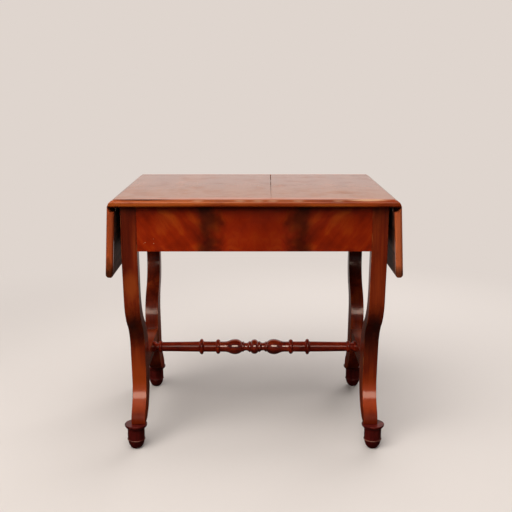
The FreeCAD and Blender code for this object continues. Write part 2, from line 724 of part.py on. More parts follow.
def make_fly_bracket(side_name):
    """Wooden bracket in two halves that interlock in a knuckle about an upright pin."""
    side = SIDES[side_name]
    radius = "bracket_thickness / 2"
    middle = f"({END_FACE} + {radius})"
    top = f"({UNDERSIDE} - bracket_top_gap)"
    bottom = f"({top} - bracket_height)"
    low_joint = f"{bottom} + bracket_height / 3"
    high_joint = f"{bottom} + bracket_height * 2 / 3"
    gap = "bracket_finger_gap"
    faces = (times(side, END_FACE), times(side, BRACKET_FACE))
    crown = times(side, middle)
    bore = circle(crown, "0", "bracket_pin_radius + tenon_clearance")
    slot = span(side, END_FACE, BRACKET_FACE)

    def plan(direction, length):
        """Plan of one half: a bar with a round knuckle about the pin at its inner end."""
        return [
            (faces[0], times(direction, length)),
            (faces[1], times(direction, length)),
            (faces[1], "0"),
            (crown, times(-direction, radius), "v", "0"),
            (faces[0], "0", "v", "0"),
        ]

    def finger_room(direction):
        """Plan of the room that the other half's finger needs."""
        return rectangle(*slot, *span(direction, f"-({radius})", f"{radius} + {gap}"))

    fixed = new_body(f"{side_name}_bracket_rail")
    add(fixed, "XY_Plane", [plan(-1, "bracket_rail_length")], bottom, top)
    cut(fixed, "XY_Plane", [finger_room(-1)], f"{low_joint} - {gap} / 2", f"{high_joint} + {gap} / 2")
    cut(fixed, "XY_Plane", [bore], bottom, top)

    fly = new_body(f"{side_name}_fly_bracket")
    add(fly, "XY_Plane", [plan(1, "fly_length")], bottom, top)
    cut(fly, "XY_Plane", [finger_room(1)], bottom, f"{low_joint} + {gap} / 2")
    cut(fly, "XY_Plane", [finger_room(1)], f"{high_joint} - {gap} / 2", top)
    cut(fly, "XY_Plane", [bore], bottom, top)
    tip = "fly_length - fly_tip_flat"
    tip_bottom = f"{top} - fly_tip_height"
    ogee = [
        ("fly_length", bottom),
        ("fly_length", tip_bottom),
        (tip, tip_bottom),
        (f"({tip} + fly_root_flat) / 2", f"({tip_bottom} + {bottom}) / 2", "u", tip),
        ("fly_root_flat", bottom, "u", "fly_root_flat"),
    ]
    cut(fly, "YZ_Plane", [ogee], *slot)

    pin = new_body(f"{side_name}_bracket_pin")
    add(pin, "XY_Plane", [circle(crown, "0", "bracket_pin_radius")], bottom, top)


def make_glue_blocks():
    """Square blocks rubbed into the corners between the rails and the underside of the top."""
    half = "glue_block_length / 2"
    levels = (f"{UNDERSIDE} - glue_block_size", UNDERSIDE)
    along_aprons = [
        rectangle(
            f"{step} * apron_block_spacing - {half}",
            f"{step} * apron_block_spacing + {half}",
            *span(end, f"{APRON_INNER} - glue_block_size", APRON_INNER),
        )
        for end in ENDS.values()
        for step in (-1, 0, 1)
    ]
    along_ends = [
        rectangle(
            *span(side, f"{END_INNER} - glue_block_size", END_INNER),
            f"{step} * end_block_spacing / 2 - {half}",
            f"{step} * end_block_spacing / 2 + {half}",
        )
        for side in SIDES.values()
        for step in (-1, 1)
    ]
    add(new_body("apron_glue_blocks"), "XY_Plane", along_aprons, *levels)
    add(new_body("end_rail_glue_blocks"), "XY_Plane", along_ends, *levels)


for end_name in ENDS:
    make_top_lipping(end_name)
    make_apron(end_name)
    for side_name in SIDES:
        make_leg(end_name, side_name)
        make_foot(end_name, side_name)
for side_name in SIDES:
    make_top_board(side_name)
    make_leaf(side_name)
    make_hinges(side_name)
    make_end_rail(side_name)
    make_cross_rail(side_name)
    make_fly_bracket(side_name)
make_stretcher()
make_glue_blocks()
doc.recompute()

for thing in doc.Objects:
    if "Invalid" in thing.State or "Error" in thing.State:
        raise RuntimeError(f"{thing.Name} of the document failed: {thing.State}")
for body in bodies:
    if body.Shape.isNull() or not body.Shape.isValid():
        raise RuntimeError(f"{body.Label} has no valid shape")
for label, before, pocket in cuts:
    if pocket.Shape.Volume >= before.Shape.Volume:
        raise RuntimeError(f"a pocket of {label} removes nothing")

os.makedirs("parts", exist_ok=True)
for body in bodies:
    body.Shape.exportStep(f"parts/{body.Label}.step")
    print(f"{body.Label}: {len(body.Shape.Solids)} solids, {body.Shape.Volume / 1000:.1f} cm3")
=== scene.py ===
# %% [markdown]
# # A mahogany work table with two drop leaves
#
# The CAD model of this table is already cut, joined and hinged. What it lacks is everything that
# a hand would feel and an eye would see: eased corners, figured veneer, old polish and wear.
# This lesson adds those, one piece at a time, and leaves every CAD part where it stands.

import json
import math

import bmesh
import bpy
from mathutils import Matrix, Vector

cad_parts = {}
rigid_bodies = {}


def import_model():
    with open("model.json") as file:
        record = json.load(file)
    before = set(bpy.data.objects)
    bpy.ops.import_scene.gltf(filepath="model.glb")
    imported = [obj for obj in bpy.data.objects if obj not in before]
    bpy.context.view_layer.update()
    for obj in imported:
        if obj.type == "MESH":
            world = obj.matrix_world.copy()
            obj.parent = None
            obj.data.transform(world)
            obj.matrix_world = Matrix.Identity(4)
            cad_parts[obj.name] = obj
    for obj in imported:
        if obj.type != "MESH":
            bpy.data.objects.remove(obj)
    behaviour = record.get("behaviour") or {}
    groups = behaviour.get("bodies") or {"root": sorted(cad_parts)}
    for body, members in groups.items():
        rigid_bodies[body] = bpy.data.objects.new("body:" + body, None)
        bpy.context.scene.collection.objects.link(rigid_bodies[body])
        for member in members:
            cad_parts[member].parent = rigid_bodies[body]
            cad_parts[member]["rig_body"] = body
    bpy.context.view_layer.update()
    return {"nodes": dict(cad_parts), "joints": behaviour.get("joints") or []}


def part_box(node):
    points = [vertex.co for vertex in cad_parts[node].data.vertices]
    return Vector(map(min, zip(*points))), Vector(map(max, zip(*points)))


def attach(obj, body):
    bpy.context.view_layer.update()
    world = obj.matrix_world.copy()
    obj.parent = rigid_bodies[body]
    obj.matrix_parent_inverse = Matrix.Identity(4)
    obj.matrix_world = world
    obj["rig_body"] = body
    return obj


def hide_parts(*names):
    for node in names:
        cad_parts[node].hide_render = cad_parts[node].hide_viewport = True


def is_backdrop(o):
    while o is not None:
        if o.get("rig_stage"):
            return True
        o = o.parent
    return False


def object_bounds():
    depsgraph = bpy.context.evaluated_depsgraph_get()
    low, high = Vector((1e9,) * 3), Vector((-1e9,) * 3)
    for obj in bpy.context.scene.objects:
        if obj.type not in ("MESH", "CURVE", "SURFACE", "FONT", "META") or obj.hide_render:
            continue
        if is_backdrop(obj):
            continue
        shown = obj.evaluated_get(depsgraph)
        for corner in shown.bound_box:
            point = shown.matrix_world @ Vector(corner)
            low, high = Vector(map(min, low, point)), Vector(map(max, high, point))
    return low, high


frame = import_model()
nodes = frame["nodes"]

# %% [markdown]
# ## The camera
#
# The table is seen from straight in front, a little above its top, from about two and a half
# metres away. A normal lens at that distance keeps the uprights nearly parallel. The numbers
# below come from fitting a pinhole camera to the edges of the table.

# %% Camera
FRAME_PIXELS = 512
FOCAL_PIXELS = 826.9
SENSOR_WIDTH = 36.0
CAMERA_PLACE = (0.0018, -2.547, 1.0745)
CAMERA_PITCH = 0.2118
CAMERA_YAW = -0.0012

camera = bpy.data.objects.new("camera", bpy.data.cameras.new("camera"))
camera.data.sensor_width = SENSOR_WIDTH
camera.data.lens = FOCAL_PIXELS / FRAME_PIXELS * SENSOR_WIDTH
camera.location = CAMERA_PLACE
camera.rotation_euler = (math.pi / 2 - CAMERA_PITCH, 0.0, CAMERA_YAW)
bpy.context.scene.collection.objects.link(camera)
bpy.context.scene.camera = camera
bpy.context.scene.view_settings.view_transform = "Standard"
print(f"camera with a {camera.data.lens:.1f} mm lens")

# %% [markdown]
# ## Shader sums as sums
#
# A node tree is a formula drawn as boxes. For anything longer than a few boxes a formula is
# easier to read, so this small class wraps a socket and lets it take part in sums. Adding two
# sockets adds the Math node that does it; one method makes every other kind of node.

# %% A socket that can be added and multiplied


def fill_ramp(ramp, stops):
    """Give a colour ramp its stops, from the lowest to the highest."""
    for element, (position, colour) in zip(ramp.elements, (stops[0], stops[-1])):
        element.position = position
        element.color = colour
    for position, colour in stops[1:-1]:
        ramp.elements.new(position).color = colour


class Socket:
    """An output socket that stands in sums as a number does."""

    def __init__(self, tree, output):
        self.tree = tree
        self.output = output

    def node(self, kind, settings=None, inputs=None, output=0):
        """Add a node: first its settings, then the values or links of its sockets."""
        made = self.tree.nodes.new(kind)
        for name, setting in (settings or {}).items():
            if name == "stops":
                fill_ramp(made.color_ramp, setting)
            else:
                setattr(made, name, setting)
        for key, value in (inputs or {}).items():
            if isinstance(value, Socket):
                self.tree.links.new(value.output, made.inputs[key])
            else:
                made.inputs[key].default_value = value
        return Socket(self.tree, made.outputs[output])

    def math(self, operation, first, second=0.0):
        """One Math node."""
        return self.node("ShaderNodeMath", {"operation": operation}, {0: first, 1: second})

    def __add__(self, other):
        return self.math("ADD", self, other)

    def __sub__(self, other):
        return self.math("SUBTRACT", self, other)

    def __rsub__(self, other):
        return self.math("SUBTRACT", other, self)

    def __mul__(self, other):
        return self.math("MULTIPLY", self, other)

    __radd__ = __add__
    __rmul__ = __mul__

    def __abs__(self):
        return self.math("ABSOLUTE", self)


print("socket class ready")

# %% [markdown]
# ## Colours and materials
#
# A colour is easiest to judge as it looks on a screen, but a shader works with amounts of light.
# The sRGB curve turns one into the other, so every colour below is written as it looks. A
# material starts from its Object coordinates, because those stay with a piece when it moves.

# %% Colours and materials


def colour(red, green, blue):
    """A colour written as it looks on a screen, 0 to 255, as the shader wants it."""
    def linear(level):
        share = level / 255
        return share / 12.92 if share <= 0.04045 else ((share + 0.055) / 1.055) ** 2.4
    return (linear(red), linear(green), linear(blue), 1.0)


def new_material(name):
    """A node material, its Object coordinates, and its main shader node."""
    material = bpy.data.materials.new(name)
    material.use_nodes = True
    tree = material.node_tree
    place = Socket(tree, tree.nodes.new("ShaderNodeTexCoord").outputs["Object"])
    return material, place, tree.nodes["Principled BSDF"]


def feed(shader, **links):
    """Link sockets to the main shader's inputs, named with underscores for spaces."""
    for name, socket in links.items():
        socket.tree.links.new(socket.output, shader.inputs[name.replace("_", " ").title()])


print(f"middle grey on a screen is {colour(128, 128, 128)[0]:.3f} in the shader")

# %% [markdown]
# ## The marks that wood is made of
#
# Grain is noise that has been pulled long in one direction. Squeezing the coordinates along the
# grain before they reach a Noise node does that. The other words here are small steps that
# every finish needs: a soft threshold, a ramp of colours, and one colour laid over another.

# %% Grain words
AXES = {"X": 0, "Y": 1, "Z": 2}
UNMOVED = (0.0, 0.0, 0.0)
# A Mix node keeps sockets for numbers and vectors too, so its colour sockets come late.
MIX_SHARE, MIX_UNDER, MIX_OVER, MIX_RESULT = 0, 6, 7, 2


def along(place, grain, length, shift=UNMOVED):
    """Coordinates squeezed so that noise is drawn out along the grain, length times over."""
    scale = [1.0, 1.0, 1.0]
    scale[AXES[grain]] = 1 / length
    inputs = {"Vector": place, "Location": shift, "Scale": scale}
    return place.node("ShaderNodeMapping", None, inputs)


def noise(place, size, detail=2.0, rough=0.5, twist=0.0):
    """Soft noise from 0 to 1 whose blotches are about size metres across."""
    inputs = {"Vector": place, "Scale": 1 / size, "Detail": detail}
    inputs.update({"Roughness": rough, "Distortion": twist})
    return place.node("ShaderNodeTexNoise", None, inputs)


def rise(value, low, high):
    """0 below low, 1 above high, and a smooth rise between."""
    inputs = {"Value": value, "From Min": low, "From Max": high}
    return value.node("ShaderNodeMapRange", {"interpolation_type": "SMOOTHSTEP"}, inputs)


def lay(under, over, share):
    """One colour laid over another by a share from 0 to 1."""
    owner = next(item for item in (under, over, share) if isinstance(item, Socket))
    inputs = {MIX_SHARE: share, MIX_UNDER: under, MIX_OVER: over}
    return owner.node("ShaderNodeMix", {"data_type": "RGBA"}, inputs, output=MIX_RESULT)


def shade(value, stops):
    """Colour for a value by a ramp of stops."""
    return value.node("ShaderNodeValToRGB", {"stops": stops}, {0: value})


print("grain words ready")

# %% [markdown]
# Wear has a place: the edge that is leaned on, the toe that is kicked. A spot is an oval round a
# point, made by measuring distance in coordinates that are scaled to its half-widths. A bump
# tilts the normal, and so gives relief that is too fine to model.

# %% Words for places
SPOT_CORE = 0.35
SPOT_RIM_GRAIN = 0.6


def part(place, axis):
    """One coordinate of a place."""
    return place.node("ShaderNodeSeparateXYZ", None, {0: place}, output=axis)


def distance(place):
    """How far a place lies from the origin of its coordinates."""
    return place.node("ShaderNodeVectorMath", {"operation": "LENGTH"}, {0: place}, output="Value")


def spot(place, centre, radii, ragged=0.0):
    """1 inside a soft-edged oval spot and 0 outside, with its rim broken up by noise."""
    offset = [-c / r for c, r in zip(centre, radii)]
    scale = [1 / r for r in radii]
    inputs = {"Vector": place, "Location": offset, "Scale": scale}
    scaled = place.node("ShaderNodeMapping", None, inputs)
    reach = distance(scaled)
    if ragged:
        reach = reach + (noise(scaled, SPOT_RIM_GRAIN) - 0.5) * ragged
    return 1 - rise(reach, SPOT_CORE, 1.0)


def bumps(height, strength, depth):
    """A tilted normal for a height that is given in units of depth."""
    inputs = {"Strength": strength, "Distance": depth, "Height": height}
    return height.node("ShaderNodeBump", None, inputs)


print("words for places ready")

# %% [markdown]
# ## The stage
#
# The table stands on one wide, pale floor. A floor lit only by lamps would darken with distance
# and end in a line, so away from the table the paint hands over to a glow of the same colour,
# and the world beyond has that colour too. The eye sees all of this and keeps the shadow. The
# polish sees less: a grey floor in front, so that the legs stay as deep as they are in a
# furnished room, and half of the glow behind the table, which lightens the edges of the legs.

# %% Floor
FLOOR_HALF_WIDTH = 40.0
GLOW_STARTS, GLOW_FULL = 0.9, 2.4
BACK_STARTS, BACK_FULL = 0.3, 1.0
MIRRORED_GLOW = 0.5
FLOOR_ROUGHNESS = 0.9
BACKGROUND = colour(223, 213, 206)
FLOOR_PAINT = colour(222, 213, 207)
FLOOR_IN_WOOD = colour(62, 50, 44)
BLACK = (0.0, 0.0, 0.0, 1.0)


def new_object(name, mesh, materials):
    """Turn a finished bmesh into an object that sits at the origin."""
    data = bpy.data.meshes.new(name)
    mesh.to_mesh(data)
    mesh.free()
    for material in materials:
        data.materials.append(material)
    made = bpy.data.objects.new(name, data)
    bpy.context.scene.collection.objects.link(made)
    return made


floor_paint, place, shader = new_material("floor_paint")
seen = place.node("ShaderNodeLightPath", output="Is Camera Ray")
mirrored = place.node("ShaderNodeLightPath", output="Is Glossy Ray")
behind = rise(part(place, "Y"), BACK_STARTS, BACK_FULL)
glow = rise(distance(place), GLOW_STARTS, GLOW_FULL) * (seen + mirrored * behind * MIRRORED_GLOW)
paint = lay(lay(FLOOR_IN_WOOD, FLOOR_PAINT, seen), BLACK, glow)
shader.inputs["Roughness"].default_value = FLOOR_ROUGHNESS
shader.inputs["Specular IOR Level"].default_value = 0.0
shader.inputs["Emission Strength"].default_value = 1.0
feed(shader, base_color=paint, emission_color=lay(BLACK, BACKGROUND, glow))

sheet = bmesh.new()
bmesh.ops.create_grid(sheet, x_segments=1, y_segments=1, size=FLOOR_HALF_WIDTH)
floor = new_object("floor", sheet, [floor_paint])
floor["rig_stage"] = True
print(f"floor {2 * FLOOR_HALF_WIDTH:.0f} m wide")

# %% [markdown]
# ## The light
#
# Polished wood shows two things at once: light that has soaked into the wood and comes back red,
# and mirror images that lie on the polish and keep the colour of what they mirror. A photographer
# sets them apart with screens and cards, and here each lamp can be told which it serves. The
# skylight is large and high, lights the wood, and throws the dark line under the edge of the top.
# A lamp overhead and a fill behind the table soften its shadows. The window stands in front and
# serves only mirrors: each leg shows it as a short bright band where its curve leans back.

# %% Lamps
TABLE_MIDDLE = (0.0, 0.0, 0.45)
WHITE_LIGHT = (1.0, 1.0, 1.0)
SKY_LIGHT = (1.0, 0.98, 0.95)
WINDOW_LIGHT = (1.0, 0.78, 0.62)


def softbox(name, place, width, height, watts, tint=WHITE_LIGHT):
    """A rectangular area lamp that looks at the middle of the table."""
    lamp = bpy.data.objects.new(name, bpy.data.lights.new(name, "AREA"))
    lamp.data.shape = "RECTANGLE"
    lamp.data.size = width
    lamp.data.size_y = height
    lamp.data.energy = watts
    lamp.data.color = tint
    lamp.location = place
    aim = Vector(TABLE_MIDDLE) - Vector(place)
    lamp.rotation_euler = aim.to_track_quat("-Z", "Y").to_euler()
    bpy.context.scene.collection.objects.link(lamp)
    return lamp


skylight = softbox("skylight", (-1.3, -2.4, 3.4), 4.0, 4.0, 160.0, SKY_LIGHT)
window = softbox("window", (-0.1, -3.3, 1.95), 4.0, 1.15, 102.0, WINDOW_LIGHT)
overhead = softbox("overhead", (0.2, -0.2, 3.2), 2.4, 2.4, 35.0)
fill = softbox("fill", (1.2, 3.0, 1.8), 3.0, 2.0, 70.0)
for lamp in (skylight, overhead, fill):
    lamp.visible_glossy = False
window.visible_diffuse = False
print(f"{len(bpy.data.lights)} lamps")

# %% [markdown]
# The world is a dim room, which fills the shadows a little. The eye sees the pale background all
# round instead, and the polish mirrors that background on the far side of the table. At a low
# angle this mirror image is strong, and it is what gives the top its sheen.

# %% World
ROOM_LIGHT = (0.15, 0.1455, 0.141, 1.0)
FAR_SIDE_STARTS, FAR_SIDE_FULL = -0.1, 0.3

world = bpy.data.worlds.new("room")
world.use_nodes = True
tree = world.node_tree
look = Socket(tree, tree.nodes.new("ShaderNodeTexCoord").outputs["Generated"])
seen = look.node("ShaderNodeLightPath", output="Is Camera Ray")
mirrored = look.node("ShaderNodeLightPath", output="Is Glossy Ray")
far_side = rise(part(look, "Y"), FAR_SIDE_STARTS, FAR_SIDE_FULL)
room = lay(ROOM_LIGHT, BACKGROUND, seen + mirrored * far_side)
tree.links.new(room.output, tree.nodes["Background"].inputs["Color"])
bpy.context.scene.world = world
print(f"world with {len(tree.nodes)} nodes")

# %% [markdown]
# ## Polish and wear
#
# The finish is shellac, rubbed on in many thin coats: a clear, glossy skin over red-brown wood.
# That is a Principled shader with a coat. Its roughness and its density are the same all over a
# piece, so they are set on the shader's own sockets. Wear is another matter: the arris attribute,
# which the corner-easing step below leaves on the mesh, says where a corner is, and there the
# stain is rubbed through in patches.

# %% Polish and wear
WORN = colour(176, 96, 46)
PALE_WEAR = colour(214, 168, 128)
# Dark grime in pores and smudges; the same colour also paints shade at the lower ends of the leaf
# edges.
GRIME_AND_SHADE = colour(26, 9, 5)
PORE_SIZE = 0.0007
PORE_DARKNESS = 0.25
SHINE_UNDER_COAT = 0.05
CLEAN_ROUGHNESS, DULLED_BY = 0.34, 0.14


def polish_coat(shader, roughness, density=1.5):
    """The clear shellac skin: its constant sockets, the same all over a piece."""
    shader.inputs["Coat Roughness"].default_value = roughness
    shader.inputs["Coat IOR"].default_value = density
    shader.inputs["Specular IOR Level"].default_value = SHINE_UNDER_COAT


def pores_along(place, grain, length, shift=UNMOVED):
    """1 in the pores, which are short strokes along the grain, and 0 between them."""
    strokes = noise(along(place, grain, length, shift), PORE_SIZE, detail=1.0)
    return rise(strokes, 0.60, 0.72)


def rubbed_corners(place, patch_size, low, high):
    """1 where an eased corner is rubbed through, in patches."""
    corner = place.node("ShaderNodeAttribute", {"attribute_name": "arris"}, output="Fac")
    return corner * rise(noise(place, patch_size, detail=3.0, rough=0.65), low, high)


def dulled(handled):
    """The roughness of the wood under its coat, greater where hands have been."""
    return CLEAN_ROUGHNESS + rise(handled, 0.4, 0.75) * DULLED_BY


print("polish and wear ready")

# %% [markdown]
# ## Old mahogany
#
# Mahogany is marked on four scales: broad bands as wide as a hand, ribbons a finger wide, fibres,
# and pores finer than a hair. A picture of a board would repeat and stretch, so each scale is a
# noise of its own, drawn out along the grain. Marks are laid on last, some of use and some painted
# light and shade. Marks in the colour of grime, which also paints some shade, take the polish with
# them, and below the scuff height shoes and brooms have taken it all.

# %% Mahogany
BAND_WIDTH, BAND_STRETCH, BAND_SHARE = 0.11, 6, 0.50
RIBBON_WIDTH, RIBBON_STRETCH, RIBBON_SHARE = 0.022, 14, 0.36
FIBRE_WIDTH, FIBRE_STRETCH, FIBRE_SHARE = 0.0035, 40, 0.14
PORE_STRETCH = 30
TONE_SPREAD = 0.2
CLOUD_SIZE, CLOUD_DARKNESS = 0.05, 0.45
RUB_SIZE, RUB_STRENGTH = 0.03, 0.55
HANDLED_SIZE = 0.06
HILL_SIZE = 0.09
RELIEF_DEPTH = 0.0001
MARK_RAGGEDNESS = 0.5
SCUFF_FADE = 0.015


def mahogany(
    name, grain, dark, body, light, shift=UNMOVED, contrast=1.0, polish=0.9, marks=(),
    warp=0.0003, relief=1.0, scuff_height=0.0, coat_blur=0.08
):
    """Polished mahogany: grain along an axis, marks at places on it, and scuffs low down."""
    material, place, shader = new_material(name)
    bands = noise(along(place, grain, BAND_STRETCH, shift), BAND_WIDTH, twist=0.5)
    ribbon_place = along(place, grain, RIBBON_STRETCH, shift)
    ribbons = noise(ribbon_place, RIBBON_WIDTH, detail=3.0, rough=0.55, twist=0.25)
    fibres = noise(along(place, grain, FIBRE_STRETCH, shift), FIBRE_WIDTH)
    tone = bands * BAND_SHARE + ribbons * RIBBON_SHARE + fibres * FIBRE_SHARE
    spread = TONE_SPREAD / contrast
    stops = [(0.0, dark), (0.5, body), (1.0, light)]
    skin = shade(rise(tone, 0.5 - spread, 0.5 + spread), stops)
    pores = pores_along(place, grain, PORE_STRETCH, shift)
    skin = lay(skin, GRIME_AND_SHADE, pores * (PORE_DARKNESS * contrast))
    clouds = noise(along(place, grain, 2, shift), CLOUD_SIZE, detail=3.0, rough=0.6)
    skin = lay(skin, dark, rise(clouds, 0.50, 0.72) * (CLOUD_DARKNESS * contrast))
    rubbed = rubbed_corners(place, RUB_SIZE, 0.45, 0.65)
    skin = lay(skin, WORN, rubbed * RUB_STRENGTH)
    handled = noise(place, HANDLED_SIZE, detail=3.0, rough=0.55)
    kept = 1 - rise(handled, 0.5, 0.8) * 0.15 - rubbed * 0.3
    for centre, radii, mark_colour, strength in marks:
        mark = spot(place, centre, radii, MARK_RAGGEDNESS) * strength
        skin = lay(skin, mark_colour, mark)
        if mark_colour is GRIME_AND_SHADE:
            kept = kept * (1 - mark)
    if scuff_height:
        low, high = scuff_height - SCUFF_FADE, scuff_height + SCUFF_FADE
        kept = kept * rise(part(place, "Z"), low, high)
    hills = noise(along(place, grain, 3, shift), HILL_SIZE, detail=1.0)
    height = hills * (warp / RELIEF_DEPTH) + fibres * 0.2 - pores * 0.2
    polish_coat(shader, coat_blur)
    feed(
        shader,
        base_color=skin,
        roughness=dulled(handled),
        coat_weight=kept * polish,
        normal=bumps(height, 0.6 * relief, RELIEF_DEPTH),
    )
    return material


print(f"mahogany with ribbons {RIBBON_WIDTH * 1000:.0f} mm wide")

# %% [markdown]
# ## Marks of use, painted light and painted shade
#
# A century of use does not wear a table evenly. The front of the top has thinner polish, is
# painted warmer and a little darker towards the front, and has a brighter strip along its front
# edge: a painted change of sheen and a painted highlight. It also has a few dull smudges. The
# upper rounding of the front lip is painted a duller brown, which is painted shade; the lip has
# one dark open line and is rubbed pale where hands and sleeves pass. The leaf edges are painted
# lighter in their middles and darker at their lower ends: painted light and painted shade. The
# legs are painted brighter low on their fronts, a painted pool of light, and darker at the waist
# and at the toe, which is painted shade. Each mark is a soft oval with a ragged rim, written as
# its centre, its half-widths, its colour and its strength.

# %% Marks of use and painted light and shade
TOP_LEVEL = 0.75
LIP_RUBS = (-0.155, -0.04, 0.01, 0.05, 0.12, 0.23)

TOP_MARKS = [
    ((0.27, -0.17, TOP_LEVEL), (0.050, 0.030, 0.05), GRIME_AND_SHADE, 0.28),
    ((-0.23, 0.17, TOP_LEVEL), (0.022, 0.06, 0.05), GRIME_AND_SHADE, 0.06),
    ((0.36, 0.27, TOP_LEVEL), (0.06, 0.07, 0.05), GRIME_AND_SHADE, 0.08),
    # Painted sheen: the front of the top is painted warmer and a little darker, with thinner
    # polish, and the brighter strip along its front edge is a painted highlight.
    ((0.0, -0.32, TOP_LEVEL), (0.90, 0.45, 0.05), GRIME_AND_SHADE, 0.13),
    ((0.0, -0.32, TOP_LEVEL), (0.90, 0.45, 0.05), colour(158, 88, 34), 0.5),
    ((0.0, -0.287, TOP_LEVEL), (0.50, 0.030, 0.05), colour(206, 96, 52), 0.5),
]
LIP_MARKS = [
    # Painted shade: the upper rounding of the lip is painted a duller brown.
    ((0.0, -0.303, TOP_LEVEL), (0.55, 0.017, 0.010), colour(112, 56, 30), 0.65),
    ((-0.313, -0.304, TOP_LEVEL), (0.120, 0.008, 0.004), GRIME_AND_SHADE, 0.9),
    ((0.31, -0.306, TOP_LEVEL), (0.075, 0.008, 0.006), PALE_WEAR, 0.75),
]
LIP_MARKS += [((x, -0.309, 0.748), (0.022, 0.006, 0.006), PALE_WEAR, 0.25) for x in LIP_RUBS]
LEAF_EDGE_MARKS = [
    # Painted light in the middle of each hanging leaf's edge, and painted shade in the colour of
    # grime at its lower end.
    ((0.405, -0.30, 0.62), (0.05, 0.05, 0.20), colour(214, 110, 66), 0.75),
    ((-0.405, -0.30, 0.67), (0.05, 0.05, 0.16), colour(196, 92, 50), 0.5),
    ((0.400, -0.30, 0.528), (0.05, 0.05, 0.040), GRIME_AND_SHADE, 0.75),
    ((-0.400, -0.30, 0.528), (0.05, 0.05, 0.050), GRIME_AND_SHADE, 0.85),
    ((-0.405, -0.30, 0.575), (0.01, 0.05, 0.020), GRIME_AND_SHADE, 0.4),
]
LEG_MARKS = [
    # Painted light makes the lower fronts of the legs glow; painted shade darkens the toes and the
    # waists.
    ((-0.345, -0.22, 0.175), (0.05, 0.07, 0.13), colour(172, 67, 20), 0.85),
    ((0.345, -0.22, 0.135), (0.05, 0.08, 0.09), colour(172, 62, 16), 0.8),
    ((-0.345, -0.25, 0.080), (0.05, 0.06, 0.05), colour(102, 28, 5), 0.85),
    ((0.345, -0.25, 0.080), (0.05, 0.06, 0.05), colour(98, 26, 6), 0.85),
    ((-0.350, -0.28, 0.500), (0.03, 0.06, 0.055), colour(176, 78, 28), 0.55),
    ((-0.345, -0.24, 0.345), (0.05, 0.09, 0.08), colour(58, 18, 8), 0.5),
    ((0.345, -0.23, 0.325), (0.05, 0.09, 0.12), colour(38, 7, 4), 0.7),
]
print(f"{len(TOP_MARKS + LIP_MARKS + LEAF_EDGE_MARKS + LEG_MARKS)} marks of use")

# %% [markdown]
# ## Mahogany for each part
#
# A maker picks boards to suit their place: the palest for the top and the leaves, red ones for
# the legs, and a lively orange strip for the lipping. Each finish has a dark, a middle and a light
# shade, and a shift that moves it to another part of the noise, so that no two boards match.

# %% Mahogany for each part
TOP_SHADES = (colour(112, 46, 18), colour(138, 66, 28), colour(164, 88, 42))
LEAF_SHADES = (colour(108, 42, 17), colour(137, 62, 27), colour(163, 85, 42))
LEG_SHADES = (colour(80, 18, 6), colour(122, 36, 11), colour(160, 62, 21))
LIP_SHADES = (colour(122, 36, 8), colour(164, 66, 16), colour(190, 92, 31))

top_wood = mahogany(
    "top_wood", "Y", *TOP_SHADES, contrast=0.5, marks=TOP_MARKS, warp=0.0002, relief=0.03
)
leaf_wood = mahogany("leaf_wood", "Y", *LEAF_SHADES, shift=(3.1, 0.4, 1.7), contrast=0.7)
lipping_wood = mahogany(
    "lipping_wood", "X", *LIP_SHADES, shift=(0.7, 2.2, 0.9), contrast=1.4, polish=0.4,
    marks=LIP_MARKS, warp=0.0001, relief=0.1, coat_blur=0.25
)
leaf_lipping_wood = mahogany(
    "leaf_lipping_wood", "Z", *LIP_SHADES, shift=(4.0, 1.2, 0.3), contrast=1.4,
    marks=LEAF_EDGE_MARKS, warp=0.0001
)
leg_wood = mahogany(
    "leg_wood", "Z", *LEG_SHADES, shift=(1.3, 0.2, 2.6), contrast=1.1, polish=0.7,
    marks=LEG_MARKS, scuff_height=0.125, coat_blur=0.13
)
rail_wood = mahogany("rail_wood", "Y", *LEG_SHADES, shift=(5.2, 3.3, 0.8), polish=0.7)
print("mahogany for the top, the leaves, the lippings, the legs and the rails")

# %% [markdown]
# ## Flame veneer
#
# The apron is faced with two sheets cut from the crotch of a tree, opened like a book so that
# each mirrors the other about the middle. Each has a dark plume with feathers that sweep up and
# out from it. Using the distance from the middle as the coordinate mirrors the pattern for free.

# %% Book-matched figure
PLUME_X = 0.130
PLUME_LEAN = 0.10
PLUME_CORE, PLUME_EDGE = 0.004, 0.052
MIDDLE_CORE, MIDDLE_EDGE = 0.05, 0.11
SEAM_FADE = 0.02
APRON_MIDDLE_Z = 0.665
DRIFT_SIZE, RAGGED_SIZE, FEATHER_SIZE, BROAD_SIZE = 0.055, 0.040, 0.026, 0.075
FLAME_STOPS = [(0.0, colour(110, 20, 2)), (0.5, colour(168, 43, 4)), (1.0, colour(204, 80, 16))]
MIDDLE_RED = colour(156, 36, 3)
PLUME_BROWN = colour(52, 9, 3)
# Painted shade: the darker red that the right sheet of veneer is painted towards.
RIGHT_SHEET_SHADE = colour(62, 12, 3)


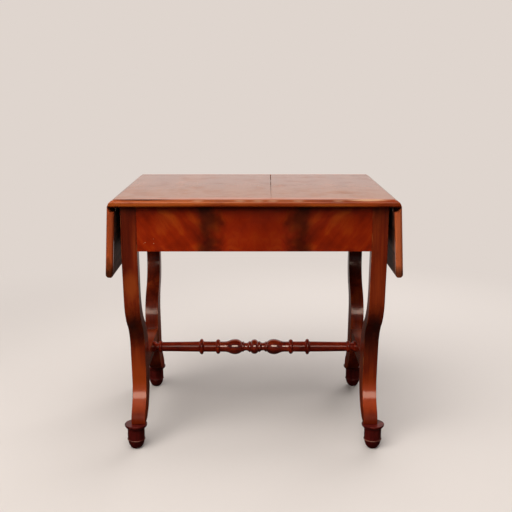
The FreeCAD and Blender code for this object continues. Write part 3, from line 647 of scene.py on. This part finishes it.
def flame_figure(place):
    """The colour of crotch mahogany, mirrored about the middle of the apron, and its feathers."""
    from_middle = abs(part(place, "X"))
    up = part(place, "Z") - APRON_MIDDLE_Z
    folded = place.node("ShaderNodeCombineXYZ", None, {"X": from_middle, "Z": up})
    drift = noise(folded, DRIFT_SIZE, detail=1.5) - 0.5
    away = from_middle - PLUME_X - up * PLUME_LEAN + drift * 0.08
    ragged = rise(noise(folded, RAGGED_SIZE), 0.05, 0.55)
    plume = (1 - rise(abs(away), PLUME_CORE, PLUME_EDGE)) * ragged
    sweep = up * 0.6 - abs(away) * 0.8 + drift * 0.09
    feather_place = place.node("ShaderNodeCombineXYZ", None, {"X": away * 0.4, "Y": sweep})
    feathers = noise(feather_place, FEATHER_SIZE, detail=3.0, twist=0.3)
    broad = noise(folded, BROAD_SIZE, twist=0.3)
    skin = shade(rise(feathers * 0.4 + broad * 0.6, 0.22, 0.78), FLAME_STOPS)
    between_plumes = 1 - rise(from_middle, MIDDLE_CORE, MIDDLE_EDGE)
    skin = lay(skin, MIDDLE_RED, between_plumes * 0.5)
    skin = lay(skin, PLUME_BROWN, plume * 0.85)
    # Painted shade: the right sheet is painted darker, as it looks with its fibres turned away
    # from the light.
    shaded_right_sheet = rise(part(place, "X"), -SEAM_FADE, SEAM_FADE)
    return lay(skin, RIGHT_SHEET_SHADE, shaded_right_sheet * 0.18), feathers


print(f"plumes {PLUME_X * 2:.2f} m apart")

# %% [markdown]
# Old veneer is less than perfect. A few chips at the lower left show the pale ground below it,
# its edges are rubbed, and it has sunk a little into the uneven core, so its polish ripples.

# %% Veneer
CHIPS_AT, CHIPS_REACH = (-0.285, -0.281, 0.630), (0.05, 0.1, 0.03)
CHIPS_PER_METRE = 75.0
CHIP_PATCH_SIZE, EDGE_RUB_SIZE, DULL_PATCH_SIZE, RIPPLE_SIZE = 0.03, 0.02, 0.05, 0.035
VENEER_COAT_BLUR = 0.09


def chips_low_left(place):
    """1 in a few small chips at the lower left of the apron."""
    cells = {"Vector": place, "Scale": CHIPS_PER_METRE}
    grit = place.node("ShaderNodeTexVoronoi", {"feature": "F1"}, cells, output="Distance")
    low_left = spot(place, CHIPS_AT, CHIPS_REACH)
    patches = rise(noise(place, CHIP_PATCH_SIZE, detail=1.0) * 0.3 + low_left, 0.55, 0.70)
    return (1 - rise(grit, 0.06, 0.12)) * patches


def flame_veneer(name):
    """Crotch mahogany with its pores, chips, rubbed edges and rippled polish."""
    material, place, shader = new_material(name)
    skin, feathers = flame_figure(place)
    skin = lay(skin, GRIME_AND_SHADE, pores_along(place, "Z", 12) * PORE_DARKNESS)
    chipped = chips_low_left(place)
    skin = lay(skin, PALE_WEAR, chipped * 0.7)
    skin = lay(skin, WORN, rubbed_corners(place, EDGE_RUB_SIZE, 0.42, 0.62) * 0.4)
    handled = noise(place, DULL_PATCH_SIZE, detail=3.0, rough=0.55)
    ripple = noise(along(place, "Z", 2), RIPPLE_SIZE)
    height = ripple * 2.0 + feathers * 0.3 - chipped * 1.5
    polish_coat(shader, VENEER_COAT_BLUR)
    feed(
        shader,
        base_color=skin,
        roughness=dulled(handled),
        coat_weight=0.6 - rise(handled, 0.55, 0.8) * 0.2,
        normal=bumps(height, 0.6, RELIEF_DEPTH),
    )
    return material


veneer = flame_veneer("flame_veneer")
print("veneer for both aprons")

# %% [markdown]
# ## Turned wood
#
# The feet are stained a deep plum-brown and the stretcher is a plain red mahogany, both with fine
# rings left by the lathe. Rings depend only on the place along the axis, so their noise reads
# that one coordinate. The bead of each front foot carries a painted highlight, a pale ring that
# the back feet, standing in shade, do not get, and the swellings in the middle of the stretcher
# are polished more than its shafts.

# %% Turned wood
TURNED_RIBBON, TURNED_CLOUD, TURNED_FIBRE, SCUFF_SIZE = 0.016, 0.05, 0.003, 0.012
TURNED_RELIEF = 0.5
TURNED_COAT_BLUR = 0.10
LATHE_RING_WIDTH = 0.0016
# Painted highlight: the pale colour of the ring on each front foot's bead.
BEAD_HIGHLIGHT = colour(206, 146, 120)
BEAD_HIGHLIGHT_STARTS, BEAD_HIGHLIGHT_ENDS = 0.0008, 0.0022
FRONT_FADE = 0.1
EXTRA_SHINE, SHINE_FADE = 0.7, 0.01
STRETCHER_SHADES = (colour(84, 16, 8), colour(146, 38, 17), colour(178, 62, 27))
FOOT_SHADES = (colour(66, 15, 12), colour(88, 21, 17), colour(108, 34, 27))


def turned_wood(
    name, axis, dark, body, light, rough, coat, highlit_ring=0.0, rubbed_span=0.0, density=1.5
):
    """Lathe-turned mahogany: a ring at a height may carry a painted highlight, a middle span more
    polished.
    """
    material, place, shader = new_material(name)
    on_axis = part(place, axis)
    ribbon_place = along(place, axis, 12)
    ribbons = noise(ribbon_place, TURNED_RIBBON, detail=3.0, rough=0.55, twist=0.3)
    clouds = noise(place, TURNED_CLOUD, detail=3.0, rough=0.6)
    fibres = noise(along(place, axis, 40), TURNED_FIBRE)
    tone = rise(ribbons * 0.5 + clouds * 0.35 + fibres * 0.15, 0.34, 0.68)
    skin = shade(tone, [(0.0, dark), (0.55, body), (1.0, light)])
    scuffs = rise(noise(place, SCUFF_SIZE, detail=4.0, rough=0.7), 0.62, 0.74)
    skin = lay(skin, light, scuffs * 0.4)
    # Painted highlight: a pale ring on the bead, laid on the front feet only; here rubbed holds
    # this highlight, not wear.
    if highlit_ring:
        on_ring = 1 - rise(abs(on_axis - highlit_ring), BEAD_HIGHLIGHT_STARTS, BEAD_HIGHLIGHT_ENDS)
        at_front = 1 - rise(part(place, "Y"), -FRONT_FADE, FRONT_FADE)
        rubbed = on_ring * rise(clouds, 0.35, 0.55) * at_front
        skin = lay(skin, BEAD_HIGHLIGHT, rubbed * 0.4)
    shine = coat
    if rubbed_span:
        beyond = rise(abs(on_axis), rubbed_span, rubbed_span + SHINE_FADE)
        shine = coat + (1 - beyond) * EXTRA_SHINE
    ring_place = on_axis.node("ShaderNodeCombineXYZ", None, {"X": on_axis})
    rings = noise(ring_place, LATHE_RING_WIDTH)
    height = rings * 0.5 + fibres * 0.4 + clouds
    polish_coat(shader, TURNED_COAT_BLUR, density)
    feed(
        shader,
        base_color=skin,
        roughness=rough + scuffs * 0.2,
        coat_weight=shine - scuffs * (0.4 * coat),
        normal=bumps(height, TURNED_RELIEF, RELIEF_DEPTH),
    )
    return material


stretcher_wood = turned_wood(
    "stretcher_wood", "X", *STRETCHER_SHADES, rough=0.28, coat=0.2, rubbed_span=0.105, density=1.9
)
foot_wood = turned_wood("foot_wood", "Z", *FOOT_SHADES, rough=0.36, coat=0.4, highlit_ring=0.027)
print("turned wood for the feet and the stretcher")

# %% [markdown]
# ## Plain timber
#
# Inside the frame the wood was never meant to be seen, so it is rough and only washed with stain:
# pine behind the veneer, beech for the rails and brackets, and unpolished mahogany under the
# leaves. It needs no coat. Dust in the grain keeps it from looking new.

# %% Plain timber
DUST = colour(120, 104, 88)
SAWN_RING, SAWN_FIBRE, BLOTCH_SIZE, DUST_SIZE = 0.014, 0.0028, 0.09, 0.02
SAWN_RELIEF, SAWN_DEPTH = 0.7, 0.00015
SAWN_ROUGHNESS = 0.62
LEAF_BACK_SHADES = (colour(62, 33, 21), colour(108, 62, 44), colour(146, 92, 68))
PINE_SHADES = (colour(108, 72, 42), colour(150, 108, 68), colour(184, 142, 96))
BEECH_SHADES = (colour(52, 28, 17), colour(84, 48, 29), colour(116, 72, 44))


def plain_timber(name, grain, dark, body, light):
    """Unpolished wood, sawn or planed, with dust and old stain in its grain."""
    material, place, shader = new_material(name)
    rings = noise(along(place, grain, 18), SAWN_RING, detail=3.0, twist=0.4)
    fibres = noise(along(place, grain, 50), SAWN_FIBRE)
    blotches = noise(place, BLOTCH_SIZE, detail=3.0, rough=0.6)
    tone = rise(rings * 0.5 + fibres * 0.25 + blotches * 0.25, 0.36, 0.66)
    skin = shade(tone, [(0.0, dark), (0.5, body), (1.0, light)])
    dust = rise(noise(place, DUST_SIZE, detail=4.0, rough=0.7), 0.55, 0.8)
    skin = lay(skin, DUST, dust * 0.14)
    bump = bumps(fibres * 1.5 + rings, SAWN_RELIEF, SAWN_DEPTH)
    feed(shader, base_color=skin, roughness=SAWN_ROUGHNESS + dust * 0.2, normal=bump)
    return material


leaf_back_wood = plain_timber("leaf_back_wood", "Y", *LEAF_BACK_SHADES)
apron_pine = plain_timber("apron_pine", "X", *PINE_SHADES)
rail_beech = plain_timber("rail_beech", "Y", *BEECH_SHADES)
print("plain timber for the undersides, the aprons and the rails")

# %% [markdown]
# ## Iron and steel
#
# The hinges are wrought iron gone brown, and their pins are steel. Rust is not a metal to light:
# where it lies, the shader turns rough and loses its metallic share, so one mask drives both.

# %% Iron and steel
HAMMER_SIZE, RUST_SIZE = 0.006, 0.009
FORGED_RELIEF, FORGED_DEPTH = 0.5, 0.0002


def forged_metal(name, dark, bright, rust, rough):
    """Hand-finished metal with a brown skin that is thinnest where it is rubbed."""
    material, place, shader = new_material(name)
    hammered = noise(place, HAMMER_SIZE, detail=5.0, rough=0.65)
    skin = shade(rise(hammered, 0.36, 0.68), [(0.0, dark), (1.0, bright)])
    rusted = rise(noise(place, RUST_SIZE, detail=5.0, rough=0.7), 0.52, 0.68)
    feed(
        shader,
        base_color=lay(skin, rust, rusted * 0.8),
        roughness=rough + rusted * 0.3,
        metallic=0.95 - rusted * 0.7,
        normal=bumps(hammered, FORGED_RELIEF, FORGED_DEPTH),
    )
    return material


hinge_iron = forged_metal(
    "hinge_iron", colour(46, 40, 36), colour(112, 104, 98), colour(78, 42, 24), rough=0.42
)
pin_steel = forged_metal(
    "pin_steel", colour(92, 88, 84), colour(168, 164, 158), colour(84, 52, 34), rough=0.3
)
print("iron for the hinges and steel for the pins")

# %% [markdown]
# ## Hanging a piece on the table
#
# Every piece made below ends in the same way. It is shaded smoothly, except across corners, and
# its normals are weighted by area, so that broad flat faces look flat beside a narrow bevel. Then
# it is hung on the body that it moves with, told its finish, and put in place of the CAD part that
# it was made from. Only the screws replace nothing.

# %% Finish a piece
SMOOTH_ANGLE = math.radians(38)


def finish_piece(name, mesh, materials, body, replaced=()):
    """Make the object, shade it smoothly, and hang it on its body."""
    made = new_object(name, mesh, materials)
    made.data.polygons.foreach_set("use_smooth", [True] * len(made.data.polygons))
    made.data.set_sharp_from_angle(angle=SMOOTH_ANGLE)
    weighted = made.modifiers.new("even_normals", "WEIGHTED_NORMAL")
    weighted.keep_sharp = True
    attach(made, body)
    if replaced:
        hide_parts(*replaced)


print(f"corners sharper than {math.degrees(SMOOTH_ANGLE):.0f} degrees stay crisp")

# %% [markdown]
# ## Eased boards
#
# No joiner leaves a corner sharp. A Bevel modifier would do it live, but the corner faces have
# to be told apart for the worn finish, so the bevel is made here with bmesh: copy the CAD mesh,
# merge its loose triangles, dissolve the flat ones into whole faces, and bevel the outer corners.
# Faces that look the way an underside looks get a second, unpolished material.

# %% Ease the corners of boards
MERGE_DISTANCE = 1e-6
FLAT_ANGLE = math.radians(0.5)
CORNER_ANGLE = math.radians(40)
BEVEL_STEPS = 3
SAME_WAY = 0.9
DOWN = (0.0, 0.0, -1.0)
BOX_SLACK = 0.0004


def inside(point, names):
    """Whether a point lies in the box of any of these nodes."""
    for name in names:
        low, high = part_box(name)
        if all(low[i] - BOX_SLACK <= point[i] <= high[i] + BOX_SLACK for i in range(3)):
            return True
    return False


def is_corner(edge, shortest, hidden_by):
    """Whether an edge is an outer corner that is long enough and lies in no joint."""
    if not edge.is_convex or edge.calc_face_angle() <= CORNER_ANGLE:
        return False
    middle = (edge.verts[0].co + edge.verts[1].co) / 2
    return edge.calc_length() >= shortest and not inside(middle, hidden_by)


def ease(name, width, material, backing=None, back_way=DOWN, shortest=0.0, hidden_by=()):
    """Replace one CAD node with a copy whose outer corners are rounded by a small bevel."""
    mesh = bmesh.new()
    mesh.from_mesh(nodes[name].data)
    bmesh.ops.remove_doubles(mesh, verts=mesh.verts, dist=MERGE_DISTANCE)
    bmesh.ops.dissolve_limit(mesh, angle_limit=FLAT_ANGLE, verts=mesh.verts, edges=mesh.edges)
    for face in mesh.faces:
        looks_back = face.normal.dot(Vector(back_way)) > SAME_WAY
        face.material_index = 1 if backing and looks_back else 0
    arris = mesh.loops.layers.float.new("arris")
    corners = [edge for edge in mesh.edges if is_corner(edge, shortest, hidden_by)]
    eased = bmesh.ops.bevel(
        mesh, geom=corners, offset=width, affect="EDGES", segments=BEVEL_STEPS, profile=0.5,
        material=-1
    )
    for face in eased["faces"]:
        for loop in face.loops:
            loop[arris] = 1.0
    materials = [material, backing] if backing else [material]
    finish_piece(f"{name}_eased", mesh, materials, nodes[name]["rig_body"], [name])


print(f"corners eased in {BEVEL_STEPS} steps")

# %% [markdown]
# The top and the leaves keep crisp corners, rounded by less than a millimetre, because their
# moulded edges do the work. Short edges are left alone: they lie at the ends of a moulding, where
# two boards meet. A hanging leaf turns its unpolished side to the frame.

# %% Top and leaves
SIDES = {"left": -1, "right": 1}
ENDS = {"front": -1, "back": 1}
TOP_CORNER, LEAF_CORNER = 0.0004, 0.0006
LONG_EDGE = 0.03

for side, sign in SIDES.items():
    ease(f"top_board_{side}", TOP_CORNER, top_wood, rail_beech, shortest=LONG_EDGE)
    ease(
        f"{side}_leaf_board", LEAF_CORNER, leaf_wood, leaf_back_wood,
        back_way=(-sign, 0.0, 0.0), shortest=LONG_EDGE
    )
    for end in ENDS:
        name = f"{side}_leaf_{end}_lipping"
        ease(name, LEAF_CORNER, leaf_lipping_wood, shortest=LONG_EDGE)
for end in ENDS:
    ease(f"top_{end}_lipping", TOP_CORNER, lipping_wood, shortest=LONG_EDGE)
print("top boards, leaves and lippings eased")

# %% [markdown]
# The legs are sawn to an S from thick board, so their corners run round the curves, and hands and
# feet have rounded them most. Corners that lie inside a joint are left alone: a bevel there would
# only open the joint. Of the thin veneer only the long edges are eased.

# %% Legs, rails and aprons
LEG_CORNER, CROSS_RAIL_CORNER = 0.0018, 0.0015
HIDDEN_CORNER, BLOCK_CORNER, VENEER_CORNER = 0.001, 0.0008, 0.0004
VENEER_EDGE = 0.3

for side in SIDES:
    for end in ENDS:
        rails = [f"{end}_apron", f"{side}_end_rail", f"{side}_cross_rail"]
        ease(f"{end}_{side}_leg", LEG_CORNER, leg_wood, hidden_by=rails)
    legs = [f"{end}_{side}_leg" for end in ENDS]
    ease(
        f"{side}_cross_rail", CROSS_RAIL_CORNER, rail_wood,
        hidden_by=[*legs, "centre_stretcher"]
    )
    for piece, joined in (("end_rail", legs), ("bracket_rail", ()), ("fly_bracket", ())):
        ease(
            f"{side}_{piece}", HIDDEN_CORNER, rail_beech,
            shortest=LONG_EDGE, hidden_by=joined
        )
for end in ENDS:
    ease(f"{end}_apron", HIDDEN_CORNER, apron_pine, shortest=LONG_EDGE)
    for side in SIDES:
        name = f"{end}_veneer_{side}"
        ease(name, VENEER_CORNER, veneer, shortest=VENEER_EDGE)
for piece in ("apron_glue_blocks", "end_rail_glue_blocks"):
    ease(piece, BLOCK_CORNER, apron_pine)
print("legs, rails, aprons and brackets eased")

# %% [markdown]
# ## Turned feet and stretcher
#
# A lathe makes a solid of revolution, and so does Spin: draw half the outline once and sweep it
# round the axis. The outline is a path of straight runs and arcs. Each arc is given by its end
# and by where its centre lies along the axis, which is how a turner reads a profile.

# %% Profiles for turning
ARC_STEPS = 10
SPIN_STEPS = 96
FULL_TURN = 2 * math.pi


def arc_to(path, along_axis, radius, centre):
    """Carry the outline on by the shorter arc whose centre lies at a place along the axis."""
    start = Vector(path[-1])
    end = Vector((along_axis, radius))
    middle = (start + end) / 2
    chord = end - start
    hub = Vector((centre, middle.y - (centre - middle.x) * chord.x / chord.y))
    first = math.atan2(start.y - hub.y, start.x - hub.x)
    last = math.atan2(end.y - hub.y, end.x - hub.x)
    turn = (last - first + math.pi) % FULL_TURN - math.pi
    reach = (start - hub).length
    for step in range(1, ARC_STEPS + 1):
        angle = first + turn * step / ARC_STEPS
        path.append((hub.x + reach * math.cos(angle), hub.y + reach * math.sin(angle)))


def bead_to(path, middle, width, root, crown):
    """Carry the outline along to a bead and over it."""
    path.append((middle - width / 2, root))
    arc_to(path, middle, crown, middle)
    arc_to(path, middle + width / 2, root, middle)


def spun(path, axis):
    """Sweep an outline of (place along the axis, radius) once round the axis."""
    mesh = bmesh.new()
    across = Vector((0.0, 1.0, 0.0))
    line = [mesh.verts.new(axis * place + across * radius) for place, radius in path]
    edges = [mesh.edges.new(pair) for pair in zip(line, line[1:])]
    bmesh.ops.spin(
        mesh, geom=line + edges, cent=(0, 0, 0), axis=axis, angle=FULL_TURN, steps=SPIN_STEPS,
        use_merge=True
    )
    bmesh.ops.remove_doubles(mesh, verts=mesh.verts, dist=MERGE_DISTANCE)
    bmesh.ops.recalc_face_normals(mesh, faces=mesh.faces)
    return mesh


print(f"turning in {SPIN_STEPS} steps")

# %% [markdown]
# Each foot is a tapering bun, a fine bead, a drum and a flared disc that the leg stands on, with
# a dowel on top that goes up into the leg. All four follow the same outline, as they would when
# they are turned to one pattern.

# %% Feet
FOOT_HEIGHT = 0.075
SOLE_RADIUS = 0.013
BUN_RADIUS, BUN_HEIGHT = 0.024, 0.025
BEAD_RADIUS, BEAD_WIDTH = 0.0265, 0.004
DRUM_RADIUS = 0.025
COLLAR_DROP = 0.011
DISC_RADIUS, DISC_EDGE = 0.033, 0.003
DOWEL_RADIUS, DOWEL_LENGTH = 0.006, 0.016

bead_middle = BUN_HEIGHT + BEAD_WIDTH / 2
disc_bottom = FOOT_HEIGHT - DISC_EDGE
disc_middle = FOOT_HEIGHT - DISC_EDGE / 2
dowel_top = FOOT_HEIGHT + DOWEL_LENGTH

foot_path = [(0.0, 0.0), (0.0, SOLE_RADIUS)]
arc_to(foot_path, BUN_HEIGHT, BUN_RADIUS, BUN_HEIGHT)
arc_to(foot_path, bead_middle, BEAD_RADIUS, bead_middle)
arc_to(foot_path, BUN_HEIGHT + BEAD_WIDTH, DRUM_RADIUS, bead_middle)
foot_path.append((FOOT_HEIGHT - COLLAR_DROP, DRUM_RADIUS))
arc_to(foot_path, disc_bottom, DISC_RADIUS, disc_bottom)
foot_path.append((disc_middle, DISC_RADIUS))
arc_to(foot_path, FOOT_HEIGHT, DISC_RADIUS - DISC_EDGE / 2, disc_middle)
foot_path += [(FOOT_HEIGHT, DOWEL_RADIUS), (dowel_top, DOWEL_RADIUS), (dowel_top, 0.0)]

for end in ENDS:
    for side in SIDES:
        name = f"{end}_{side}_foot"
        low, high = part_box(name)
        middle = (low + high) / 2
        foot = spun(foot_path, Vector((0.0, 0.0, 1.0)))
        bmesh.ops.translate(foot, verts=foot.verts, vec=(middle.x, middle.y, low.z))
        body = nodes[name]["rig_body"]
        finish_piece(f"{name}_turned", foot, [foot_wood], body, [name])
print(f"four feet, {len(foot_path)} points in their outline")

# %% [markdown]
# The long stretcher has a knop in its middle, a vase each side of it, and pairs of beads on the
# plain shafts. Its sizes are read outwards from the middle, as a turner marks them off on the
# blank: each place along the axis follows from the one before it.

# %% Places along the stretcher
KNOP_HALF_WIDTH, KNOP_RADIUS, KNOP_EDGE = 0.0115, 0.0235, 0.017
COLLAR_WIDTH, COLLAR_ROOT, COLLAR_RADIUS = 0.008, 0.015, 0.0175
NECK_WIDTH, NECK_RADIUS = 0.015, 0.0125
NECK_RING_WIDTH, NECK_RING_RADIUS = 0.005, 0.017
VASE_SHOULDER, VASE_RADIUS, VASE_TAPER = 0.0225, 0.0245, 0.036
SHAFT_RADIUS, SHAFT_END_RADIUS = 0.0165, 0.0148
INNER_BEAD_OFFSET, INNER_BEAD_WIDTH, INNER_BEAD_RADIUS = 0.019, 0.013, 0.0235
OUTER_BEAD_OFFSET, OUTER_BEAD_WIDTH, OUTER_BEAD_RADIUS = 0.053, 0.011, 0.025
FLANK_LENGTH, FLANK_RISE = 0.005, 0.0025
END_BEAD, END_BEAD_WIDTH, END_BEAD_RADIUS = 0.302, 0.012, 0.019
END_NECK_RADIUS = 0.0115
BELL_START, BELL_RADIUS = 0.319, 0.0175
SHOULDER_X = 0.326
TENON_RADIUS = 0.009

neck_start = KNOP_HALF_WIDTH + COLLAR_WIDTH
neck_middle = neck_start + NECK_WIDTH / 2
neck_end = neck_start + NECK_WIDTH
belly = neck_end + NECK_RING_WIDTH + VASE_SHOULDER
vase_end = belly + VASE_TAPER
inner_bead = vase_end + INNER_BEAD_OFFSET
outer_bead = inner_bead + OUTER_BEAD_OFFSET
flank = outer_bead - OUTER_BEAD_WIDTH / 2 - FLANK_LENGTH
far_flank = outer_bead + OUTER_BEAD_WIDTH / 2 + FLANK_LENGTH
end_neck = END_BEAD + END_BEAD_WIDTH / 2
print(f"belly of the vase {belly * 1000:.1f} mm from the middle")

# %% [markdown]
# One half of the outline is drawn, from the knop to the tenon that goes into the cross rail. Its
# mirror image is put in front of it, which keeps both ends alike, and the whole is spun once.

# %% Stretcher
half = [(0.0, KNOP_RADIUS)]
arc_to(half, KNOP_HALF_WIDTH, KNOP_EDGE, 0.0)
bead_to(half, KNOP_HALF_WIDTH + COLLAR_WIDTH / 2, COLLAR_WIDTH, COLLAR_ROOT, COLLAR_RADIUS)
arc_to(half, neck_middle, NECK_RADIUS, neck_middle)
arc_to(half, neck_end, COLLAR_ROOT, neck_middle)
bead_to(half, neck_end + NECK_RING_WIDTH / 2, NECK_RING_WIDTH, COLLAR_ROOT, NECK_RING_RADIUS)
arc_to(half, belly, VASE_RADIUS, belly)
arc_to(half, (belly + vase_end) / 2, (VASE_RADIUS + SHAFT_RADIUS) / 2, belly)
arc_to(half, vase_end, SHAFT_RADIUS, vase_end)
bead_to(half, inner_bead, INNER_BEAD_WIDTH, SHAFT_RADIUS, INNER_BEAD_RADIUS)
half.append((flank, SHAFT_RADIUS))
arc_to(half, flank + FLANK_LENGTH, SHAFT_RADIUS + FLANK_RISE, flank)
bead_to(half, outer_bead, OUTER_BEAD_WIDTH, SHAFT_RADIUS + FLANK_RISE, OUTER_BEAD_RADIUS)
arc_to(half, far_flank, SHAFT_RADIUS, far_flank)
bead_to(half, END_BEAD, END_BEAD_WIDTH, SHAFT_END_RADIUS, END_BEAD_RADIUS)
half.append((end_neck, END_NECK_RADIUS))
arc_to(half, BELL_START, BELL_RADIUS, end_neck)
half += [(SHOULDER_X, BELL_RADIUS), (SHOULDER_X, TENON_RADIUS)]
low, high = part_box("centre_stretcher")
half += [(high.x, TENON_RADIUS), (high.x, 0.0)]

whole = [(-place, radius) for place, radius in reversed(half[1:])] + half
stretcher = spun(whole, Vector((1.0, 0.0, 0.0)))
bmesh.ops.translate(stretcher, verts=stretcher.verts, vec=(0.0, 0.0, (low.z + high.z) / 2))
finish_piece(
    "centre_stretcher_turned", stretcher, [stretcher_wood], "frame",
    ["centre_stretcher"]
)
print(f"stretcher with {len(whole)} points in its outline")

# %% [markdown]
# ## Ironwork
#
# The hinge flaps and all the pins are already the right shape, so they keep their CAD meshes and
# only get their finish. A mesh may bring materials of its own, so those are cleared first.

# %% Metal finishes on CAD nodes
METAL_PIECES = {
    "hinge_top_flaps": hinge_iron,
    "hinge_leaf_flaps": hinge_iron,
    "hinge_pins": pin_steel,
    "bracket_pin": pin_steel,
}

for side in SIDES:
    for piece, finish in METAL_PIECES.items():
        metal = nodes[f"{side}_{piece}"]
        metal.data.materials.clear()
        metal.data.materials.append(finish)
print("hinges and pins finished")

# %% [markdown]
# The slotted screws that hold the hinges are too small for the CAD model. A head is a short cone,
# wide end up. Two cuts across it part a narrow strip from its top face, and that strip is pushed
# down to make the slot. Screws driven by hand stop at any angle, so each slot is turned.

# %% A screw head
HEAD_SIDES = 24
HEAD_RADIUS = 0.0032
HEAD_RISE = 0.0003
HEAD_SINK = 0.0012
SLOT_HALF_WIDTH = 0.0004
SLOT_DEPTH = 0.0007


def faces_of(verts):
    """All faces that touch any of these corners."""
    return {face for vert in verts for face in vert.link_faces}


def in_slot(face):
    """Whether a face is the strip of the top between the two cuts."""
    return face.normal.z > SAME_WAY and abs(face.calc_center_median().y) < SLOT_HALF_WIDTH


def add_screw(mesh, matrix, turn):
    """A countersunk screw head on the plane z = 0, its slot turned by an angle, then placed."""
    cone = bmesh.ops.create_cone(
        mesh,
        cap_ends=True,
        segments=HEAD_SIDES,
        radius1=HEAD_RADIUS - HEAD_SINK,
        radius2=HEAD_RADIUS,
        depth=HEAD_SINK,
        matrix=Matrix.Translation((0.0, 0.0, HEAD_RISE - HEAD_SINK / 2)),
    )
    head = set(cone["verts"])
    for cut_y in (-SLOT_HALF_WIDTH, SLOT_HALF_WIDTH):
        faces = faces_of(head)
        edges = {edge for face in faces for edge in face.edges}
        cut = bmesh.ops.bisect_plane(
            mesh, geom=[*head, *edges, *faces], plane_co=(0, cut_y, 0), plane_no=(0, 1, 0)
        )
        head |= {item for item in cut["geom_cut"] if isinstance(item, bmesh.types.BMVert)}
    strip = next(face for face in faces_of(head) if in_slot(face))
    sunk = bmesh.ops.extrude_discrete_faces(mesh, faces=[strip])["faces"][0]
    bmesh.ops.translate(mesh, verts=sunk.verts, vec=(0.0, 0.0, -SLOT_DEPTH))
    head = list(head | set(sunk.verts))
    bmesh.ops.rotate(mesh, verts=head, cent=(0, 0, 0), matrix=Matrix.Rotation(turn, 3, "Z"))
    bmesh.ops.transform(mesh, verts=head, matrix=matrix)


print(f"screw heads {HEAD_RADIUS * 2000:.1f} mm wide")

# %% [markdown]
# Three screws hold each flap in the top and five hold each longer flap in the leaf. Their places
# are measured from the hinge pin with the leaf up. A leaf's screws are then swung down with the
# leaf, by the range of its joint, and ride on it from there.

# %% Screws in the hinges
HINGE_Y = 0.245
SCREW_SPREAD = 0.017
PAIR, SINGLE = (-1, 1), (0,)
TOP_ROWS = [(0.013, PAIR), (0.027, SINGLE)]
LEAF_ROWS = [(0.014, PAIR), (0.028, SINGLE), (0.043, PAIR)]
FIRST_TURN, NEXT_TURN = 0.7, 1.9
FACING_DOWN = Matrix.Rotation(math.pi, 4, "X")


def screw_places(origin, way, level, rows):
    """A placing matrix for each screw of both hinges, in rows that lie one way from the pin."""
    places = []
    for end in ENDS.values():
        for away, steps in rows:
            for step in steps:
                place = (way * away, end * HINGE_Y + step * SCREW_SPREAD, level)
                places.append(origin @ Matrix.Translation(place) @ FACING_DOWN)
    return places


def screws(name, places, body, finish):
    """One object with a screw head at every placing matrix, each slot at its own angle."""
    mesh = bmesh.new()
    for index, matrix in enumerate(places):
        add_screw(mesh, matrix, FIRST_TURN + NEXT_TURN * index)
    finish_piece(name, mesh, [finish], body)
    print(f"{name}: {len(places)} screws")


joints = {joint["child"]: joint for joint in frame["joints"]}
for side, sign in SIDES.items():
    joint = joints[f"{side}_leaf"]
    pin = Vector(joint["pos_m"])
    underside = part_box(f"top_board_{side}")[0].z
    level = underside - pin.z
    at_pin = Matrix.Translation(pin)
    swing = at_pin @ Matrix.Rotation(sign * math.radians(joint["range_deg"][1]), 4, "Y")
    top_places = screw_places(at_pin, -sign, level, TOP_ROWS)
    leaf_places = screw_places(swing, sign, level, LEAF_ROWS)
    screws(f"{side}_hinge_top_screws", top_places, "frame", hinge_iron)
    screws(f"{side}_hinge_leaf_screws", leaf_places, f"{side}_leaf", hinge_iron)

# %% [markdown]
# ## The size of the dressed table
#
# The box round every piece that is drawn, the stage aside, is printed. The dressed
# table must be no larger than the CAD table.

# %% Sizes and finish
low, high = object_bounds()
print(f"visual box {low[:]} to {high[:]}")
